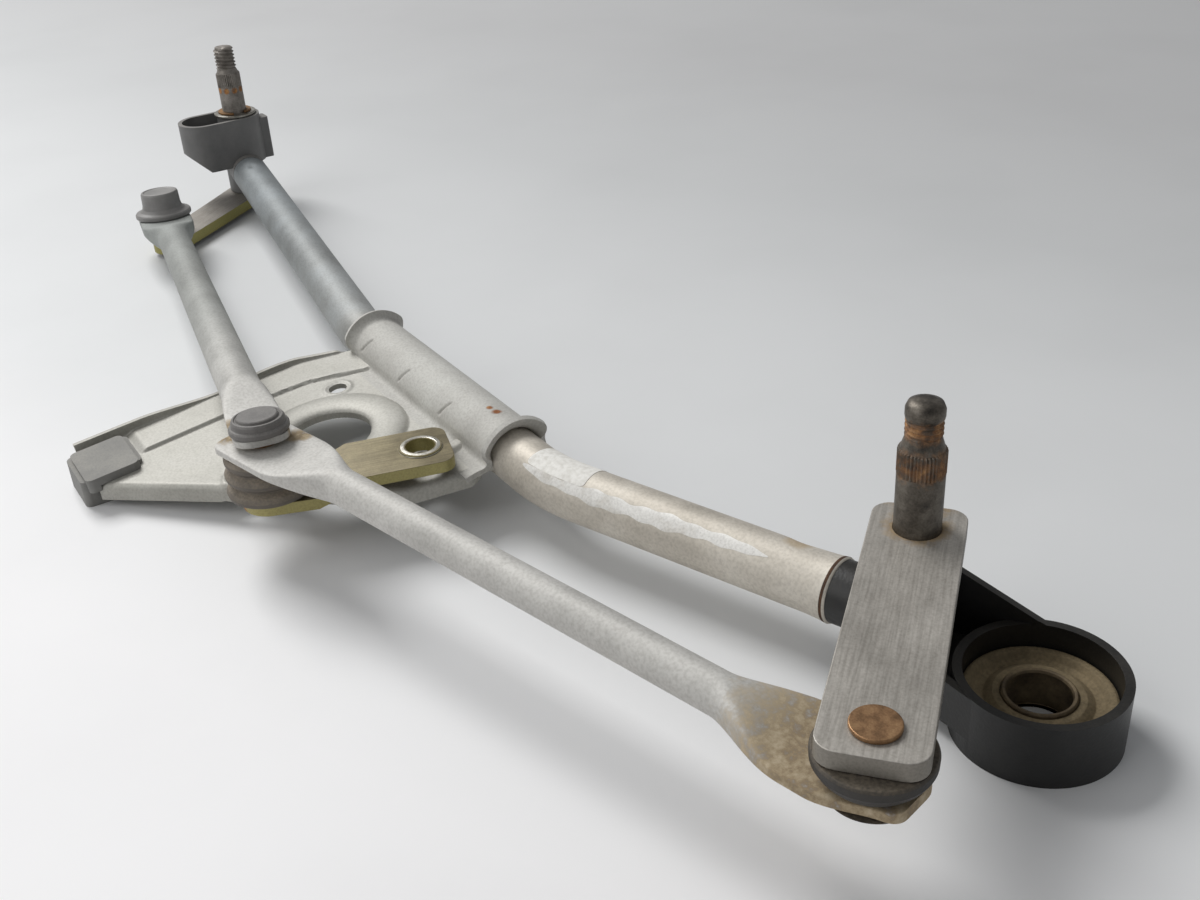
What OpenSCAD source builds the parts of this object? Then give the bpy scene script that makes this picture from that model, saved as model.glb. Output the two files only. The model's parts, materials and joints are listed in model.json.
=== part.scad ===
// Windscreen wiper linkage: a tube frame with two spindle housings and a motor plate,
// two rocking levers, two pressed-tube links and the motor crank, lying in the park position.
// The origin is the motor shaft axis on the mounting face of the motor plate. +X runs from
// the far spindle to the near spindle and +Z runs up the spindles.

/* [Layout] */
// Far spindle axis along X
far_x = -302; // [-320:1:-290]
// Near spindle axis along X
near_x = 194; // [186:1:210]
// Both spindle axes along Y
spindle_y = 81; // [76:1:88]
// Surface that the linkage lies on, below the motor mounting face
ground_drop = 14; // [13:0.5:16]
// Lever length, spindle axis to ball centre
lever_len = 76; // [72:1:80]
// Lever direction in the park position
park_angle = -50.5; // [-54:0.5:-47]
// Crank pin axis along X in the park position
pin_x = 28.6; // [26:0.2:31]
// Crank pin axis along Y in the park position
pin_y = -30.6; // [-33:0.2:-28]

/* [Spindles] */
// Spindle shaft diameter
shaft_d = 12; // [11.6:0.1:12.4]
// Thread diameter at the free end
thread_d = 9.6; // [9:0.1:10]
// Thread root diameter
root_d = 8.6; // [8:0.1:8.8]
// Length of the threaded end
thread_h = 10; // [9:0.5:12]
// Height of the cone between thread and serration
cone_h = 3; // [2:0.5:4]
// Height of the serrated seat
knurl_h = 7; // [5:0.5:8]
// Mean diameter of the serrated seat
seat_d = 11.4; // [10.8:0.1:11.5]
// Plain shaft standing above the far retaining ring
far_shaft_h = 12; // [10:0.5:14]
// Plain shaft standing above the near lever
near_shaft_h = 16; // [14:0.5:18]
// Upset end of the far spindle under its lever
peen_h = 2.2; // [1.8:0.1:3]
// Bearing bush wall
bush_wall = 1.4; // [1.2:0.1:1.6]
// Bearing bush length
bush_h = 11; // [9:0.5:12]
// Thrust washer thickness
washer_t = 1.2; // [1:0.1:1.5]
// Thrust washer diameter
washer_d = 21; // [20:0.5:22]
// Retaining ring thickness
ring_t = 1; // [0.8:0.1:1.2]
// Retaining ring diameter
ring_d = 16.6; // [16:0.2:18]

/* [Levers] */
// Lever thickness
lever_t = 5; // [4.5:0.1:5.4]
// Far lever radius at its spindle
far_lever_r = 10.5; // [10:0.5:11.5]
// Far lever radius at its ball
far_lever_tip_r = 8; // [7.5:0.5:9]
// Near lever width
near_lever_w = 24; // [22:0.5:26]
// Near lever end beyond the spindle axis
near_lever_head = 10.5; // [9.5:0.5:11]
// Near lever end beyond the ball axis
near_lever_tail = 9.5; // [9:0.5:11]
// Near lever corner radius
near_lever_corner = 5; // [4:0.5:6]

/* [Ball joints] */
// Ball diameter
ball_d = 11; // [10.6:0.1:11.2]
// Stud shank diameter in the levers and the crank
stud_d = 8; // [7.6:0.2:8.4]
// Stud collar diameter
collar_d = 12; // [11:0.2:12.4]
// Stud collar height
collar_h = 0.8; // [0.6:0.1:1]
// Stud neck diameter
neck_d = 5.6; // [5.2:0.2:6]
// Rivet head diameter on the near lever
rivet_d = 11.4; // [10.5:0.2:12]
// Rivet head height
rivet_h = 1.2; // [0.8:0.1:1.6]
// Ball height above the far lever
far_ball_h = 9.8; // [9.4:0.1:10.6]
// Socket body diameter in the link ends
socket_d = 15.6; // [15.2:0.2:16]
// Wall of the socket over the ball
socket_wall = 1.6; // [1.4:0.1:2]
// Socket mouth diameter
mouth_d = 8.8; // [8.4:0.2:9]
// Brim diameter of the far socket
far_brim_d = 26; // [24:0.5:27]
// Crown diameter of the far socket
far_crown_d = 17; // [16.4:0.2:18]
// Crown height of the far socket above its brim
far_crown_h = 6.6; // [6:0.2:8]
// Brim diameter of the centre socket
centre_brim_d = 18.6; // [18:0.2:20]
// Brim thickness of both sockets
brim_t = 2.2; // [1.8:0.1:2.6]
// Bottom of the near socket below the link
near_socket_drop = 8.4; // [8:0.2:9]
// Height of the boot between crank and near link
boot_h = 10.4; // [10:0.1:11]
// Outer diameter of that boot
boot_d = 25.6; // [24:0.2:27]
// Height of the boot between near link and near lever
near_boot_h = 6.8; // [6.4:0.1:7.6]
// Outer diameter of that boot under the lever
near_boot_d = 27; // [25:0.5:28]
// Wall of both boots
boot_wall = 1.6; // [1.4:0.1:2]
// Step between the two link ends on the crank pin
stack_gap = 2; // [1.8:0.1:2.6]
// Lower ball of the crank stud below the near link
lower_ball_drop = 6; // [5.8:0.1:6.2]

/* [Links] */
// Diameter of the far link's tube
far_link_d = 14; // [13:0.1:14.4]
// Diameter of the near link's tube
near_link_d = 11; // [10.6:0.1:11.6]
// Rise of the near link's tube above its plate at the near ball
near_tube_rise = 1; // [0.6:0.1:1.4]
// Rise of the near link's tube above its plate at the pin
pin_tube_rise = 3.6; // [3:0.1:4]
// Link tube wall
link_wall = 1.5; // [1.2:0.1:2]
// Thickness of the flattened link ends
flat_t = 4.5; // [4:0.1:4.8]
// Length of the taper from tube to flat
taper_l = 22; // [18:1:26]
// Vent hole diameter near the link ends
vent_d = 4; // [3:0.5:5]
// Width of the near link's end at the crank
near_pin_w = 24; // [22:0.5:25]
// Width of the near link's end at its lever
near_ball_w = 26; // [24:0.5:28]
// Width of the near link's nose under its lever
near_nose_w = 15; // [14:0.5:17]
// Width of the far link's ends
far_end_w = 21; // [20.5:0.5:23]
// End of the flats beyond the ball axes
flat_over = 11; // [10.8:0.1:12]
// Flat length from the ball axis to the taper
flat_l = 16; // [15:1:20]

/* [Motor crank] */
// Crank length, eye axis to pin axis
crank_len = 47.7; // [46:0.1:49]
// Crank direction from the pin in the park position
crank_angle = 74; // [72:0.5:76]
// Crank thickness
crank_t = 4; // [3.6:0.1:4.4]
// Underside of the crank's pin end above the motor face
crank_z = 2.3; // [2.2:0.1:3]
// Offset of the eye end above the pin end
crank_rise = 4.9; // [4.6:0.1:5]
// Start of the offset bend from the pin axis
crank_bend_from = 13; // [13:0.5:15]
// End of the offset bend from the pin axis
crank_bend_to = 25; // [23:0.5:27]
// Radius of the crank's pin end
crank_pin_r = 9.5; // [9:0.5:10]
// Width of the crank's eye end
crank_eye_w = 24; // [22:0.5:25]
// Crank end beyond the eye axis
crank_eye_over = 9.5; // [9:0.5:10.5]
// Bore of the crank's eye
crank_bore_d = 9.4; // [9:0.2:10]
// Collar diameter round the eye
crank_collar_d = 14; // [13:0.5:15]

/* [Frame tube] */
// Frame tube diameter
tube_d = 18; // [17.4:0.1:18.4]
// Frame tube wall
tube_wall = 1.6; // [1.4:0.1:1.8]
// Axis of the tube's middle run in the plate's own frame
saddle_y = 42; // [41:0.5:44]
// Far bend along X
bend_far_x = -62; // [-70:1:-58]
// Near bend along X
bend_near_x = 78; // [74:1:84]
// Bend radius of the tube's axis
bend_r = 70; // [60:5:75]
// Far end of the tube from the far spindle axis
far_stub = 17; // [16:0.5:19]
// Near end of the tube from the near spindle axis
near_stub = 20.5; // [19.5:0.5:23]
// Length of the housing spigots inside the tube
spigot_l = 26; // [20:1:30]

/* [Motor plate] */
// Sheet thickness
plate_t = 2; // [1.8:0.1:2.4]
// Tilt of the plate about X
plate_tilt = 6; // [5.5:0.1:6.5]
// Far end of the saddle along X
back_x = -49; // [-51:0.5:-47]
// Back edge of the plate along X, at its flange
flange_x = -57; // [-58:0.5:-56]
// Place along Y where the back edge turns to the saddle
waist_y = 12; // [9:1:15]
// Near edge of the plate along X
front_x = 49; // [47:0.5:51]
// Near end of the saddle along X
saddle_x = 57; // [55:0.5:60]
// Front corner of the near edge along Y
corner_y = 4.8; // [3:0.2:7]
// Apex end along Y
apex_y = -72; // [-74:0.5:-71]
// Apex width
apex_w = 25.5; // [24:0.5:27]
// Corner radius of the outline
plate_corner = 5; // [3:0.5:6]
// Motor shaft opening
motor_hole_d = 30; // [28:0.5:31]
// Middle diameter of the bead round the opening
motor_bead_d = 44; // [43:0.5:45]
// Radius of the bead's section
bead_r = 5; // [4.5:0.1:5.2]
// Height of the bead above the plate
bead_h = 1.5; // [1.2:0.1:1.8]
// Bolt circle diameter of the motor
motor_pcd = 66; // [65:0.5:68]
// Motor bolt hole diameter
bolt_d = 6.6; // [6.4:0.1:7]
// Angle of the first motor bolt
bolt_angle = 150.5; // [148:0.5:153]
// Pad diameter round the bolt holes
bolt_pad_d = 11; // [10:0.5:12]
// Pad height
bolt_pad_h = 0.7; // [0.4:0.1:0.8]
// Height of the back flange above the plate
flange_h = 2; // [1.6:0.1:2.2]
// Depth of the turned-down lips
lip_h = 4; // [3:0.2:5]
// Width of the saddle's end flanges
saddle_rim = 3; // [2:0.2:3.6]
// Width of the raised band beside the back flange
band_w = 14; // [12:0.5:15]
// Height of the raised band above the plate
band_h = 1.2; // [0.8:0.1:1.4]

/* [Rubber foot] */
// Height of the foot above the plate
foot_top = 3; // [2.4:0.2:3.6]
// Length of plate that the foot covers
foot_cover = 17; // [15:0.5:18]
// Wall of the foot beyond the plate's apex
foot_wall = 4.5; // [3.5:0.5:5]
// Step round the foot's upper pad
foot_step = 1.5; // [1:0.1:2]

/* [Far housing] */
// Top of the far housing above the motor face
far_top = 33; // [32:0.5:35]
// Outer diameter of the far bearing tube
far_boss_d = 19; // [18.6:0.2:20]
// Reach of the shield from the spindle axis
shield_reach = 30; // [28:0.5:32]
// Half width of the shield
shield_half = 12; // [11.5:0.5:13]
// Underside of the shield above the motor face
shield_z = 9; // [8:0.5:11]
// Corner cut at the shield's lower edge
shield_cut = 9; // [7:0.5:10]
// Shield wall
shield_wall = 2; // [1.6:0.1:2.4]
// Reach of the wing behind the tube
wing_reach = 15; // [14:0.5:17]

/* [Near housing] */
// Outer diameter of the near bearing tube
near_boss_d = 21; // [20:0.5:22]
// Lower end of the near bearing tube
near_boss_z = -9; // [-9.5:0.5:-7]
// Mounting eye axis from the near spindle along X
eye_dx = 33.9; // [33:0.1:36]
// Mounting eye axis from the near spindle along Y
eye_dy = 11.3; // [10:0.1:13]
// Mounting eye outer diameter
eye_d = 43.2; // [42:0.2:44.4]
// Mounting eye height
eye_h = 18; // [16:0.5:19]
// Wall of the eye and of the arm
eye_wall = 2.4; // [2:0.1:2.8]
// Depth of the recess above the eye bush
eye_recess = 4; // [3:0.5:5]
// Bush flange height inside the eye
eye_floor = 3; // [2.5:0.5:4]
// Height of the arm at the bearing tube
arm_h = 32; // [28:0.5:34]
// Sleeve outer diameter
sleeve_d = 19; // [18:0.2:20]
// Sleeve bore
sleeve_bore = 16; // [15:0.2:16.6]

/* [Fits] */
// Running clearance on shafts and balls, per side
run_fit = 0.05; // [0.03:0.01:0.08]
// Assembly clearance of seated parts, per side
seat_fit = 0.02; // [0.01:0.01:0.04]
// Clearance of the far link on the crank's upper ball, per side
open_fit = 0.4; // [0.35:0.01:0.5]
// Axial and sweeping clearance between moving parts
gap = 0.3; // [0.25:0.05:0.4]

/* [Hidden] */
$fn = 64;
// Overcut that lets a hole run clear of a face
cut = 1;
// Thin slice from which a taper starts, and its step from the next surface
slice = 0.2;
ground_z = -ground_drop;
shaft_r = shaft_d / 2;
ball_r = ball_d / 2;
tube_r = tube_d / 2;

// Heights, stacked from the ground and from the crank
far_lever_z = ground_z + peen_h;
far_lever_top = far_lever_z + lever_t;
far_ball_z = far_lever_top + far_ball_h;
pin_end_top = crank_z + crank_t;
near_link_z = pin_end_top + boot_h + flat_t / 2;
near_lever_z = near_link_z + flat_t / 2 + near_boot_h + gap;
near_lever_top = near_lever_z + lever_t;
pin_link_z = near_link_z + flat_t + stack_gap;
lower_ball_z = near_link_z - lower_ball_drop;
far_ring_top = far_top + gap + washer_t + ring_t;
near_boss_top = near_lever_z - gap;

// Places in plan
far_axis = [far_x, spindle_y];
near_axis = [near_x, spindle_y];
lever_dir = [cos(park_angle), sin(park_angle)];
far_ball = far_axis + lever_len * lever_dir;
near_ball = near_axis + lever_len * lever_dir;
pin = [pin_x, pin_y];
eye_axis = near_axis + [eye_dx, eye_dy];

// Links: length in plan, direction and rise
far_run = norm(pin - far_ball);
far_link_len = norm([far_run, pin_link_z - far_ball_z]);
far_link_turn = atan2(pin_y - far_ball[1], pin_x - far_ball[0]);
far_link_rise = atan2(pin_link_z - far_ball_z, far_run);
near_link_len = norm(pin - near_ball);
near_link_turn = atan2(pin_y - near_ball[1], pin_x - near_ball[0]);

// The tube lies half way up the plate's sheet
tube_y = saddle_y * cos(plate_tilt) - plate_t / 2 * sin(plate_tilt);
tube_z = saddle_y * sin(plate_tilt) + plate_t / 2 * cos(plate_tilt);
far_turn = atan2(tube_y - spindle_y, bend_far_x - far_x);
near_turn = atan2(spindle_y - tube_y, near_x - bend_near_x);
far_leg = norm([bend_far_x - far_x, tube_y - spindle_y]);
near_leg = norm([near_x - bend_near_x, spindle_y - tube_y]);
far_tangent = bend_r * tan(-far_turn / 2);
near_tangent = bend_r * tan(near_turn / 2);

// Points of an arc
function arc(c, r, a0, a1, n) = [for (i = [0:n]) c + r * [cos(a0 + (a1 - a0) * i / n), sin(a0 + (a1 - a0) * i / n)]];

// The shorter turn from one direction to another
function short_turn(a) = a > 180 ? a - 360 : a < -180 ? a + 360 : a;

// One rounded corner at b between its neighbours a and c
function corner(a, b, c, r, n) =
    let (u = (a - b) / norm(a - b))
    let (v = (c - b) / norm(c - b))
    let (half = acos(u * v) / 2)
    let (middle = b + (u + v) / norm(u + v) * r / sin(half))
    let (from = b + u * r / tan(half) - middle)
    let (to = b + v * r / tan(half) - middle)
    let (a0 = atan2(from[1], from[0]))
    arc(middle, r, a0, a0 + short_turn(atan2(to[1], to[0]) - a0), n);

// An outline with every corner rounded
function rounded(p, r, n = 6) =
    let (m = len(p))
    [for (i = [0:m - 1]) each corner(p[(i + m - 1) % m], p[i], p[(i + 1) % m], r, n)];

// A rectangle along X with rounded corners
function rounded_strip(x0, x1, w, r) = rounded([[x0, -w / 2], [x1, -w / 2], [x1, w / 2], [x0, w / 2]], r);

// The belt round two circles on the X axis
function belt(r1, r2, d) =
    let (a = acos((r1 - r2) / d))
    concat(arc([0, 0], r1, a, 360 - a, 32), arc([d, 0], r2, -a, a, 32));

module ring(outer_d, inner_d, h) {
    difference() {
        cylinder(d = outer_d, h = h);
        translate([0, 0, -cut]) cylinder(d = inner_d, h = h + 2 * cut);
    }
}

module rod_x(d, l) {
    rotate([0, 90, 0]) cylinder(d = d, h = l);
}

// Steel frame tube, laid run by run from the far end
middle_run = bend_near_x - bend_far_x - far_tangent - near_tangent;
far_straight = far_leg - far_tangent - far_stub;
near_straight = near_leg - near_tangent - near_stub;

module pipe(l) {
    rotate([0, 90, 0]) ring(tube_d, tube_d - 2 * tube_wall, l);
}

// Bend whose wall is upset a little and laps over both runs
module pipe_bend(turn) {
    upset = 0.15;
    lap = 1;
    translate([0, bend_r, 0]) rotate(-90 - lap) rotate_extrude(angle = turn + 2 * lap) translate([bend_r, 0])
        difference() {
            circle(d = tube_d + 2 * upset);
            circle(d = tube_d - 2 * tube_wall - 2 * upset);
        }
}

module frame_tube() {
    color("darkgray") {
        translate([far_x, spindle_y, tube_z]) rotate(far_turn) translate([far_stub, 0, 0]) {
            pipe(far_straight);
            translate([far_straight, 0, 0]) pipe_bend(-far_turn);
        }
        translate([bend_far_x + far_tangent, tube_y, tube_z]) {
            pipe(middle_run);
            translate([middle_run, 0, 0]) pipe_bend(near_turn);
        }
        translate([bend_near_x, tube_y, tube_z]) rotate(near_turn) translate([near_tangent, 0, 0]) pipe(near_straight);
    }
}

// Stamped motor plate with the saddle over the tube, modelled flat and then tilted
saddle_r = tube_r + seat_fit;
saddle_out_r = saddle_r + plate_t;
plate_outline = [
    [back_x, saddle_y - saddle_r], [flange_x, waist_y], [flange_x, apex_y], [flange_x + apex_w, apex_y],
    [front_x, corner_y], [saddle_x, saddle_y - saddle_r]
];
waist_edge = plate_outline[0] - plate_outline[1];
front_edge = plate_outline[4] - plate_outline[3];
front_dir = front_edge / norm(front_edge);

module motor_plate() {
    saddle_l = saddle_x - back_x;
    lip_from = plate_outline[3] + front_dir * plate_corner / 2;
    color("lightgray") rotate([plate_tilt, 0, 0]) {
        difference() {
            union() {
                difference() {
                    linear_extrude(plate_t) polygon(rounded(plate_outline, plate_corner));
                    translate([0, 0, -cut])
                        ring(motor_bead_d + 2 * (bead_r - plate_t), motor_bead_d - 2 * (bead_r - plate_t), plate_t + 2 * cut);
                }
                motor_bead();
                for (i = [0:2]) rotate(bolt_angle + 120 * i) translate([motor_pcd / 2, 0, 0])
                    cylinder(d = bolt_pad_d, h = plate_t + bolt_pad_h);
                raised_band();
                back_flange();
                edge_lip(lip_from, plate_outline[4]);
                edge_lip(plate_outline[4], plate_outline[5]);
            }
            translate([0, 0, -cut]) cylinder(d = motor_hole_d, h = plate_t + 2 * cut);
            for (i = [0:2]) rotate(bolt_angle + 120 * i) translate([motor_pcd / 2, 0, -cut])
                cylinder(d = bolt_d, h = plate_t + bolt_pad_h + 2 * cut);
            translate([back_x - cut, saddle_y, plate_t / 2]) rod_x(2 * saddle_r, saddle_l + 2 * cut);
        }
        saddle(saddle_l);
    }
}

module motor_bead() {
    top = plate_t + bead_h;
    rotate_extrude() translate([motor_bead_d / 2, 0]) intersection() {
        translate([0, top - bead_r]) difference() {
            circle(r = bead_r);
            circle(r = bead_r - plate_t);
        }
        translate([-bead_r, 0]) square([2 * bead_r, top]);
    }
}

// Raised band beside the back flange, which follows the back edge to the saddle
module raised_band() {
    from = apex_y + foot_cover + 2 * foot_step;
    to = saddle_y - saddle_out_r - foot_step;
    inner = flange_x + plate_t / 2;
    outer = flange_x + plate_t + band_w;
    shift = (to - waist_y) * waist_edge[0] / waist_edge[1];
    linear_extrude(plate_t + band_h) polygon([
        [inner, from], [outer, from], [outer, waist_y], [outer + shift, to], [inner + shift, to], [inner, waist_y]
    ]);
}

// Upturned flange of the back edge
module back_flange() {
    top = plate_outline[0] - waist_edge * plate_t / waist_edge[1];
    edge_wall(top, plate_outline[1]);
    edge_wall(plate_outline[1], [flange_x, apex_y + plate_corner]);
}

module edge_wall(p, q) {
    d = (q - p) / norm(q - p);
    inside = [-d[1], d[0]] * plate_t;
    linear_extrude(plate_t + flange_h) polygon([p, q, q + inside, p + inside]);
}

// Turned-down lip between two corners of the outline
module edge_lip(p, q) {
    d = (q - p) / norm(q - p);
    inside = [-d[1], d[0]] * plate_t;
    translate([0, 0, -lip_h]) linear_extrude(lip_h + plate_t) polygon([p, q, q + inside, p + inside]);
}

// Half shell over the tube with a flange at each end
module saddle(l) {
    skirt = tube_r / 3;
    rim_r = saddle_out_r + saddle_rim;
    difference() {
        translate([back_x, saddle_y, plate_t / 2]) {
            rod_x(2 * saddle_out_r, l);
            rod_x(2 * rim_r, plate_t);
            translate([l - plate_t, 0, 0]) rod_x(2 * rim_r, plate_t);
        }
        translate([back_x - cut, saddle_y, plate_t / 2]) rod_x(2 * saddle_r, l + 2 * cut);
        translate([back_x - cut, saddle_y - rim_r - cut, -rim_r - cut]) cube([l + 2 * cut, rim_r + cut, rim_r + cut]);
        translate([back_x - cut, saddle_y - cut, -rim_r - skirt]) cube([l + 2 * cut, rim_r + 2 * cut, rim_r]);
    }
}

// Rubber foot pushed over the plate's apex, between its flange and its lip
module rubber_foot() {
    open_y = apex_y + foot_cover;
    toe = apex_y - foot_wall;
    back = flange_x + plate_t + gap;
    front = flange_x + apex_w - plate_t;
    pad_front = front + 2 * foot_step;
    corner = foot_wall / 2;
    color("dimgray") difference() {
        union() {
            difference() {
                translate([0, 0, ground_z]) linear_extrude(-ground_z)
                    polygon(rounded([[back, open_y], [back, toe], [front, toe], [front, open_y]], corner));
                rotate([plate_tilt, 0, 0]) translate([back - cut, toe - foot_wall, plate_t + foot_top - foot_step])
                    cube([apex_w, 2 * foot_cover, -ground_z]);
            }
            rotate([plate_tilt, 0, 0]) linear_extrude(plate_t + foot_top) polygon(rounded([
                [back + foot_step / 2, open_y - foot_step], [back + foot_step / 2, toe + foot_step],
                [pad_front, toe + foot_step], [pad_front, open_y - foot_step]
            ], corner));
        }
        rotate([plate_tilt, 0, 0]) translate([0, 0, -seat_fit]) linear_extrude(plate_t + 2 * seat_fit)
            offset(delta = seat_fit) polygon(rounded(plate_outline, plate_corner));
    }
}

// Bearing bush pressed into a housing, its lower face at z
module bearing_bush(axis, z) {
    translate([axis[0], axis[1], z]) ring(shaft_d + 2 * (run_fit + bush_wall), shaft_d + 2 * run_fit, bush_h);
}

bush_seat_d = shaft_d + 2 * (run_fit + bush_wall + seat_fit);
far_boss_z = far_lever_top + gap;

module bearing_bore(z0, z1) {
    translate([0, 0, z0 - cut]) cylinder(d = bush_seat_d, h = z1 - z0 + 2 * cut);
}

// Spigot of a housing inside the tube
module spigot(stub, turn) {
    translate([0, 0, tube_z]) rotate(turn) rod_x(tube_d - 2 * tube_wall - 2 * seat_fit, stub + spigot_l);
    translate([0, 0, tube_z]) rotate(turn) rod_x(tube_d, stub - seat_fit);
}

// Moulded housing of the far spindle with its splash shield
module far_housing() {
    color("#3a3b3d") translate([far_x, spindle_y, 0]) difference() {
        union() {
            translate([0, 0, far_boss_z]) cylinder(d = far_boss_d, h = far_top - far_boss_z);
            shield();
            wing();
            spigot(far_stub, far_turn);
        }
        bearing_bore(far_boss_z, far_top);
    }
}

module shield() {
    end = shield_reach - shield_half;
    difference() {
        shield_block(shield_half, end, shield_reach, shield_z, 0);
        shield_block(shield_half - shield_wall, end, shield_reach - shield_wall, shield_z + shield_wall, cut);
    }
}

// Belt-shaped block with the lower corner cut off
module shield_block(half, end, reach, z, over) {
    top = far_top + over;
    intersection() {
        translate([0, 0, z]) rotate(-90) linear_extrude(top - z) polygon(belt(half, half, end));
        translate([-half - cut, 0, 0]) rotate([90, 0, 90]) linear_extrude(2 * half + 2 * cut)
            polygon([[-reach, top], [-reach, z + shield_cut], [shield_cut - reach, z], [half, z], [half, top]]);
    }
}

module wing() {
    wing_drop = 1.5 * shield_wall;
    translate([0, 0, shield_z]) linear_extrude(far_top - shield_z - wing_drop) polygon(rounded([
        [-shield_wall, far_boss_d / 2 - shield_wall], [shield_half / 2, far_boss_d / 2 - shield_wall],
        [shield_half / 2, wing_reach], [-shield_wall, wing_reach]
    ], shield_wall / 2));
}

module far_upper_bush() {
    color("goldenrod") bearing_bush(far_axis, far_top - bush_h);
}

module far_lower_bush() {
    color("goldenrod") bearing_bush(far_axis, far_boss_z);
}

// Moulded housing of the near spindle with the mounting eye
module near_housing() {
    color("#1c1c1d") translate([near_x, spindle_y, 0]) difference() {
        union() {
            translate([0, 0, near_boss_z]) cylinder(d = near_boss_d, h = near_boss_top - near_boss_z);
            translate([eye_dx, eye_dy, ground_z]) cylinder(d = eye_d, h = eye_h);
            rotate(atan2(eye_dy, eye_dx)) eye_arm(norm([eye_dx, eye_dy]));
            spigot(near_stub, near_turn + 180);
        }
        bearing_bore(near_boss_z, near_boss_top);
        translate([eye_dx, eye_dy, ground_z - cut]) cylinder(d = eye_d - 2 * eye_wall, h = eye_h + 2 * cut);
    }
}

// Four points where a belt of two circles leaves them
function belt_points(r1, r2, d) =
    let (a = acos((r1 - r2) / d))
    [[r1 * cos(a), -r1 * sin(a)], [d + r2 * cos(a), -r2 * sin(a)], [d + r2 * cos(a), r2 * sin(a)], [r1 * cos(a), r1 * sin(a)]];

// Open trough from the bearing tube to the eye; its back wall climbs to the bearing tube
module eye_arm(reach) {
    root_r = near_boss_d / 2 - slice;
    eye_r = eye_d / 2 - slice;
    trough_h = ground_z + eye_h - near_boss_z - slice;
    trough_floor = trough_h - eye_recess - eye_floor;
    back = belt_points(root_r - slice, eye_r - slice, reach);
    wall_l = norm(back[2] - back[3]);
    lean = atan2(back[2][1] - back[3][1], back[2][0] - back[3][0]);
    translate([0, 0, near_boss_z + slice]) difference() {
        linear_extrude(trough_h - slice) polygon(belt_points(root_r, eye_r, reach));
        translate([0, 0, trough_floor]) linear_extrude(eye_h)
            polygon(belt_points(root_r - eye_wall, eye_r - eye_wall, reach));
    }
    translate([back[3][0], back[3][1], 0]) rotate(lean) rotate([90, 0, 0]) linear_extrude(eye_wall) polygon([
        [0, near_boss_z + 2 * slice], [wall_l, near_boss_z + 2 * slice], [wall_l, ground_z + eye_h - 2 * slice],
        [wall_l / 4, ground_z + arm_h], [0, ground_z + arm_h]
    ]);
}

module near_upper_bush() {
    color("goldenrod") bearing_bush(near_axis, near_boss_top - bush_h);
}

module near_lower_bush() {
    color("goldenrod") bearing_bush(near_axis, near_boss_z);
}

module eye_bush() {
    bush_d = eye_d - 2 * (eye_wall + seat_fit);
    color("saddlebrown") translate([eye_axis[0], eye_axis[1], ground_z])
        ring(bush_d, sleeve_d + 2 * seat_fit, eye_h - eye_recess);
}

module eye_sleeve() {
    lip = eye_recess / 4;
    color("tan") translate([eye_axis[0], eye_axis[1], ground_z]) ring(sleeve_d, sleeve_bore, eye_h - eye_recess + lip);
}

// Upper part of both spindles: plain shaft, serrated seat, cone and thread above z
module spindle_tip(z, plain_h) {
    groove_pitch = 1.5;
    grooves = 3;
    seat_z = z + plain_h;
    thread_z = seat_z + knurl_h + cone_h;
    groove_r = (thread_d - root_d) / 2;
    translate([0, 0, seat_z]) cylinder(d = seat_d, h = knurl_h);
    translate([0, 0, seat_z + knurl_h]) cylinder(d1 = seat_d, d2 = thread_d, h = cone_h);
    difference() {
        translate([0, 0, thread_z]) cylinder(d = thread_d, h = thread_h);
        for (i = [0:grooves - 1]) translate([0, 0, thread_z + groove_pitch * (i + 1)])
            rotate_extrude() translate([thread_d / 2, 0]) circle(r = groove_r);
    }
}

module far_spindle() {
    ring_z = far_ring_top - ring_t;
    color("gray") translate([far_x, spindle_y, 0]) {
        difference() {
            translate([0, 0, ground_z]) cylinder(d = shaft_d, h = far_ring_top + far_shaft_h - ground_z);
            translate([0, 0, ring_z]) ring(shaft_d + cut, ring_groove_d, ring_t);
        }
        spindle_tip(far_ring_top, far_shaft_h);
    }
}

ring_groove_d = shaft_d - 1;

// Retaining ring, open on one side, sprung into its groove
module retaining_ring(z) {
    mouth = shaft_d / 2;
    translate([0, 0, z + seat_fit]) difference() {
        ring(ring_d, ring_groove_d + 2 * seat_fit, ring_t - 2 * seat_fit);
        translate([0, -mouth / 2, -cut]) cube([ring_d, mouth, ring_t + 2 * cut]);
    }
}

module far_thrust_washer() {
    color("silver") translate([far_x, spindle_y, far_top + gap]) ring(washer_d, shaft_d + 2 * run_fit, washer_t);
}

module far_retaining_ring() {
    color("silver") translate([far_x, spindle_y, 0]) retaining_ring(far_ring_top - ring_t);
}

module far_lever() {
    color("#8a8250") translate([far_x, spindle_y, far_lever_z]) rotate(park_angle) difference() {
        linear_extrude(lever_t) polygon(belt(far_lever_r, far_lever_tip_r, lever_len));
        translate([0, 0, -cut]) cylinder(d = shaft_d + 2 * seat_fit, h = lever_t + 2 * cut);
        translate([lever_len, 0, -cut]) cylinder(d = stud_d + 2 * seat_fit, h = lever_t + 2 * cut);
    }
}

// Ball stud standing up from z, with its shank through a plate of thickness t
module ball_stud(t, ball_h) {
    translate([0, 0, -t]) cylinder(d = stud_d, h = t);
    cylinder(d = collar_d, h = collar_h);
    cylinder(d = neck_d, h = ball_h);
    translate([0, 0, ball_h]) sphere(d = ball_d);
}

module far_ball_stud() {
    tail_h = peen_h / 2;
    color("tan") translate([far_ball[0], far_ball[1], far_lever_top]) {
        ball_stud(lever_t, far_ball_h);
        translate([0, 0, -lever_t - tail_h]) cylinder(d = stud_d, h = tail_h);
    }
}

near_ring_z = near_boss_z - gap - washer_t - ring_t;

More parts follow.
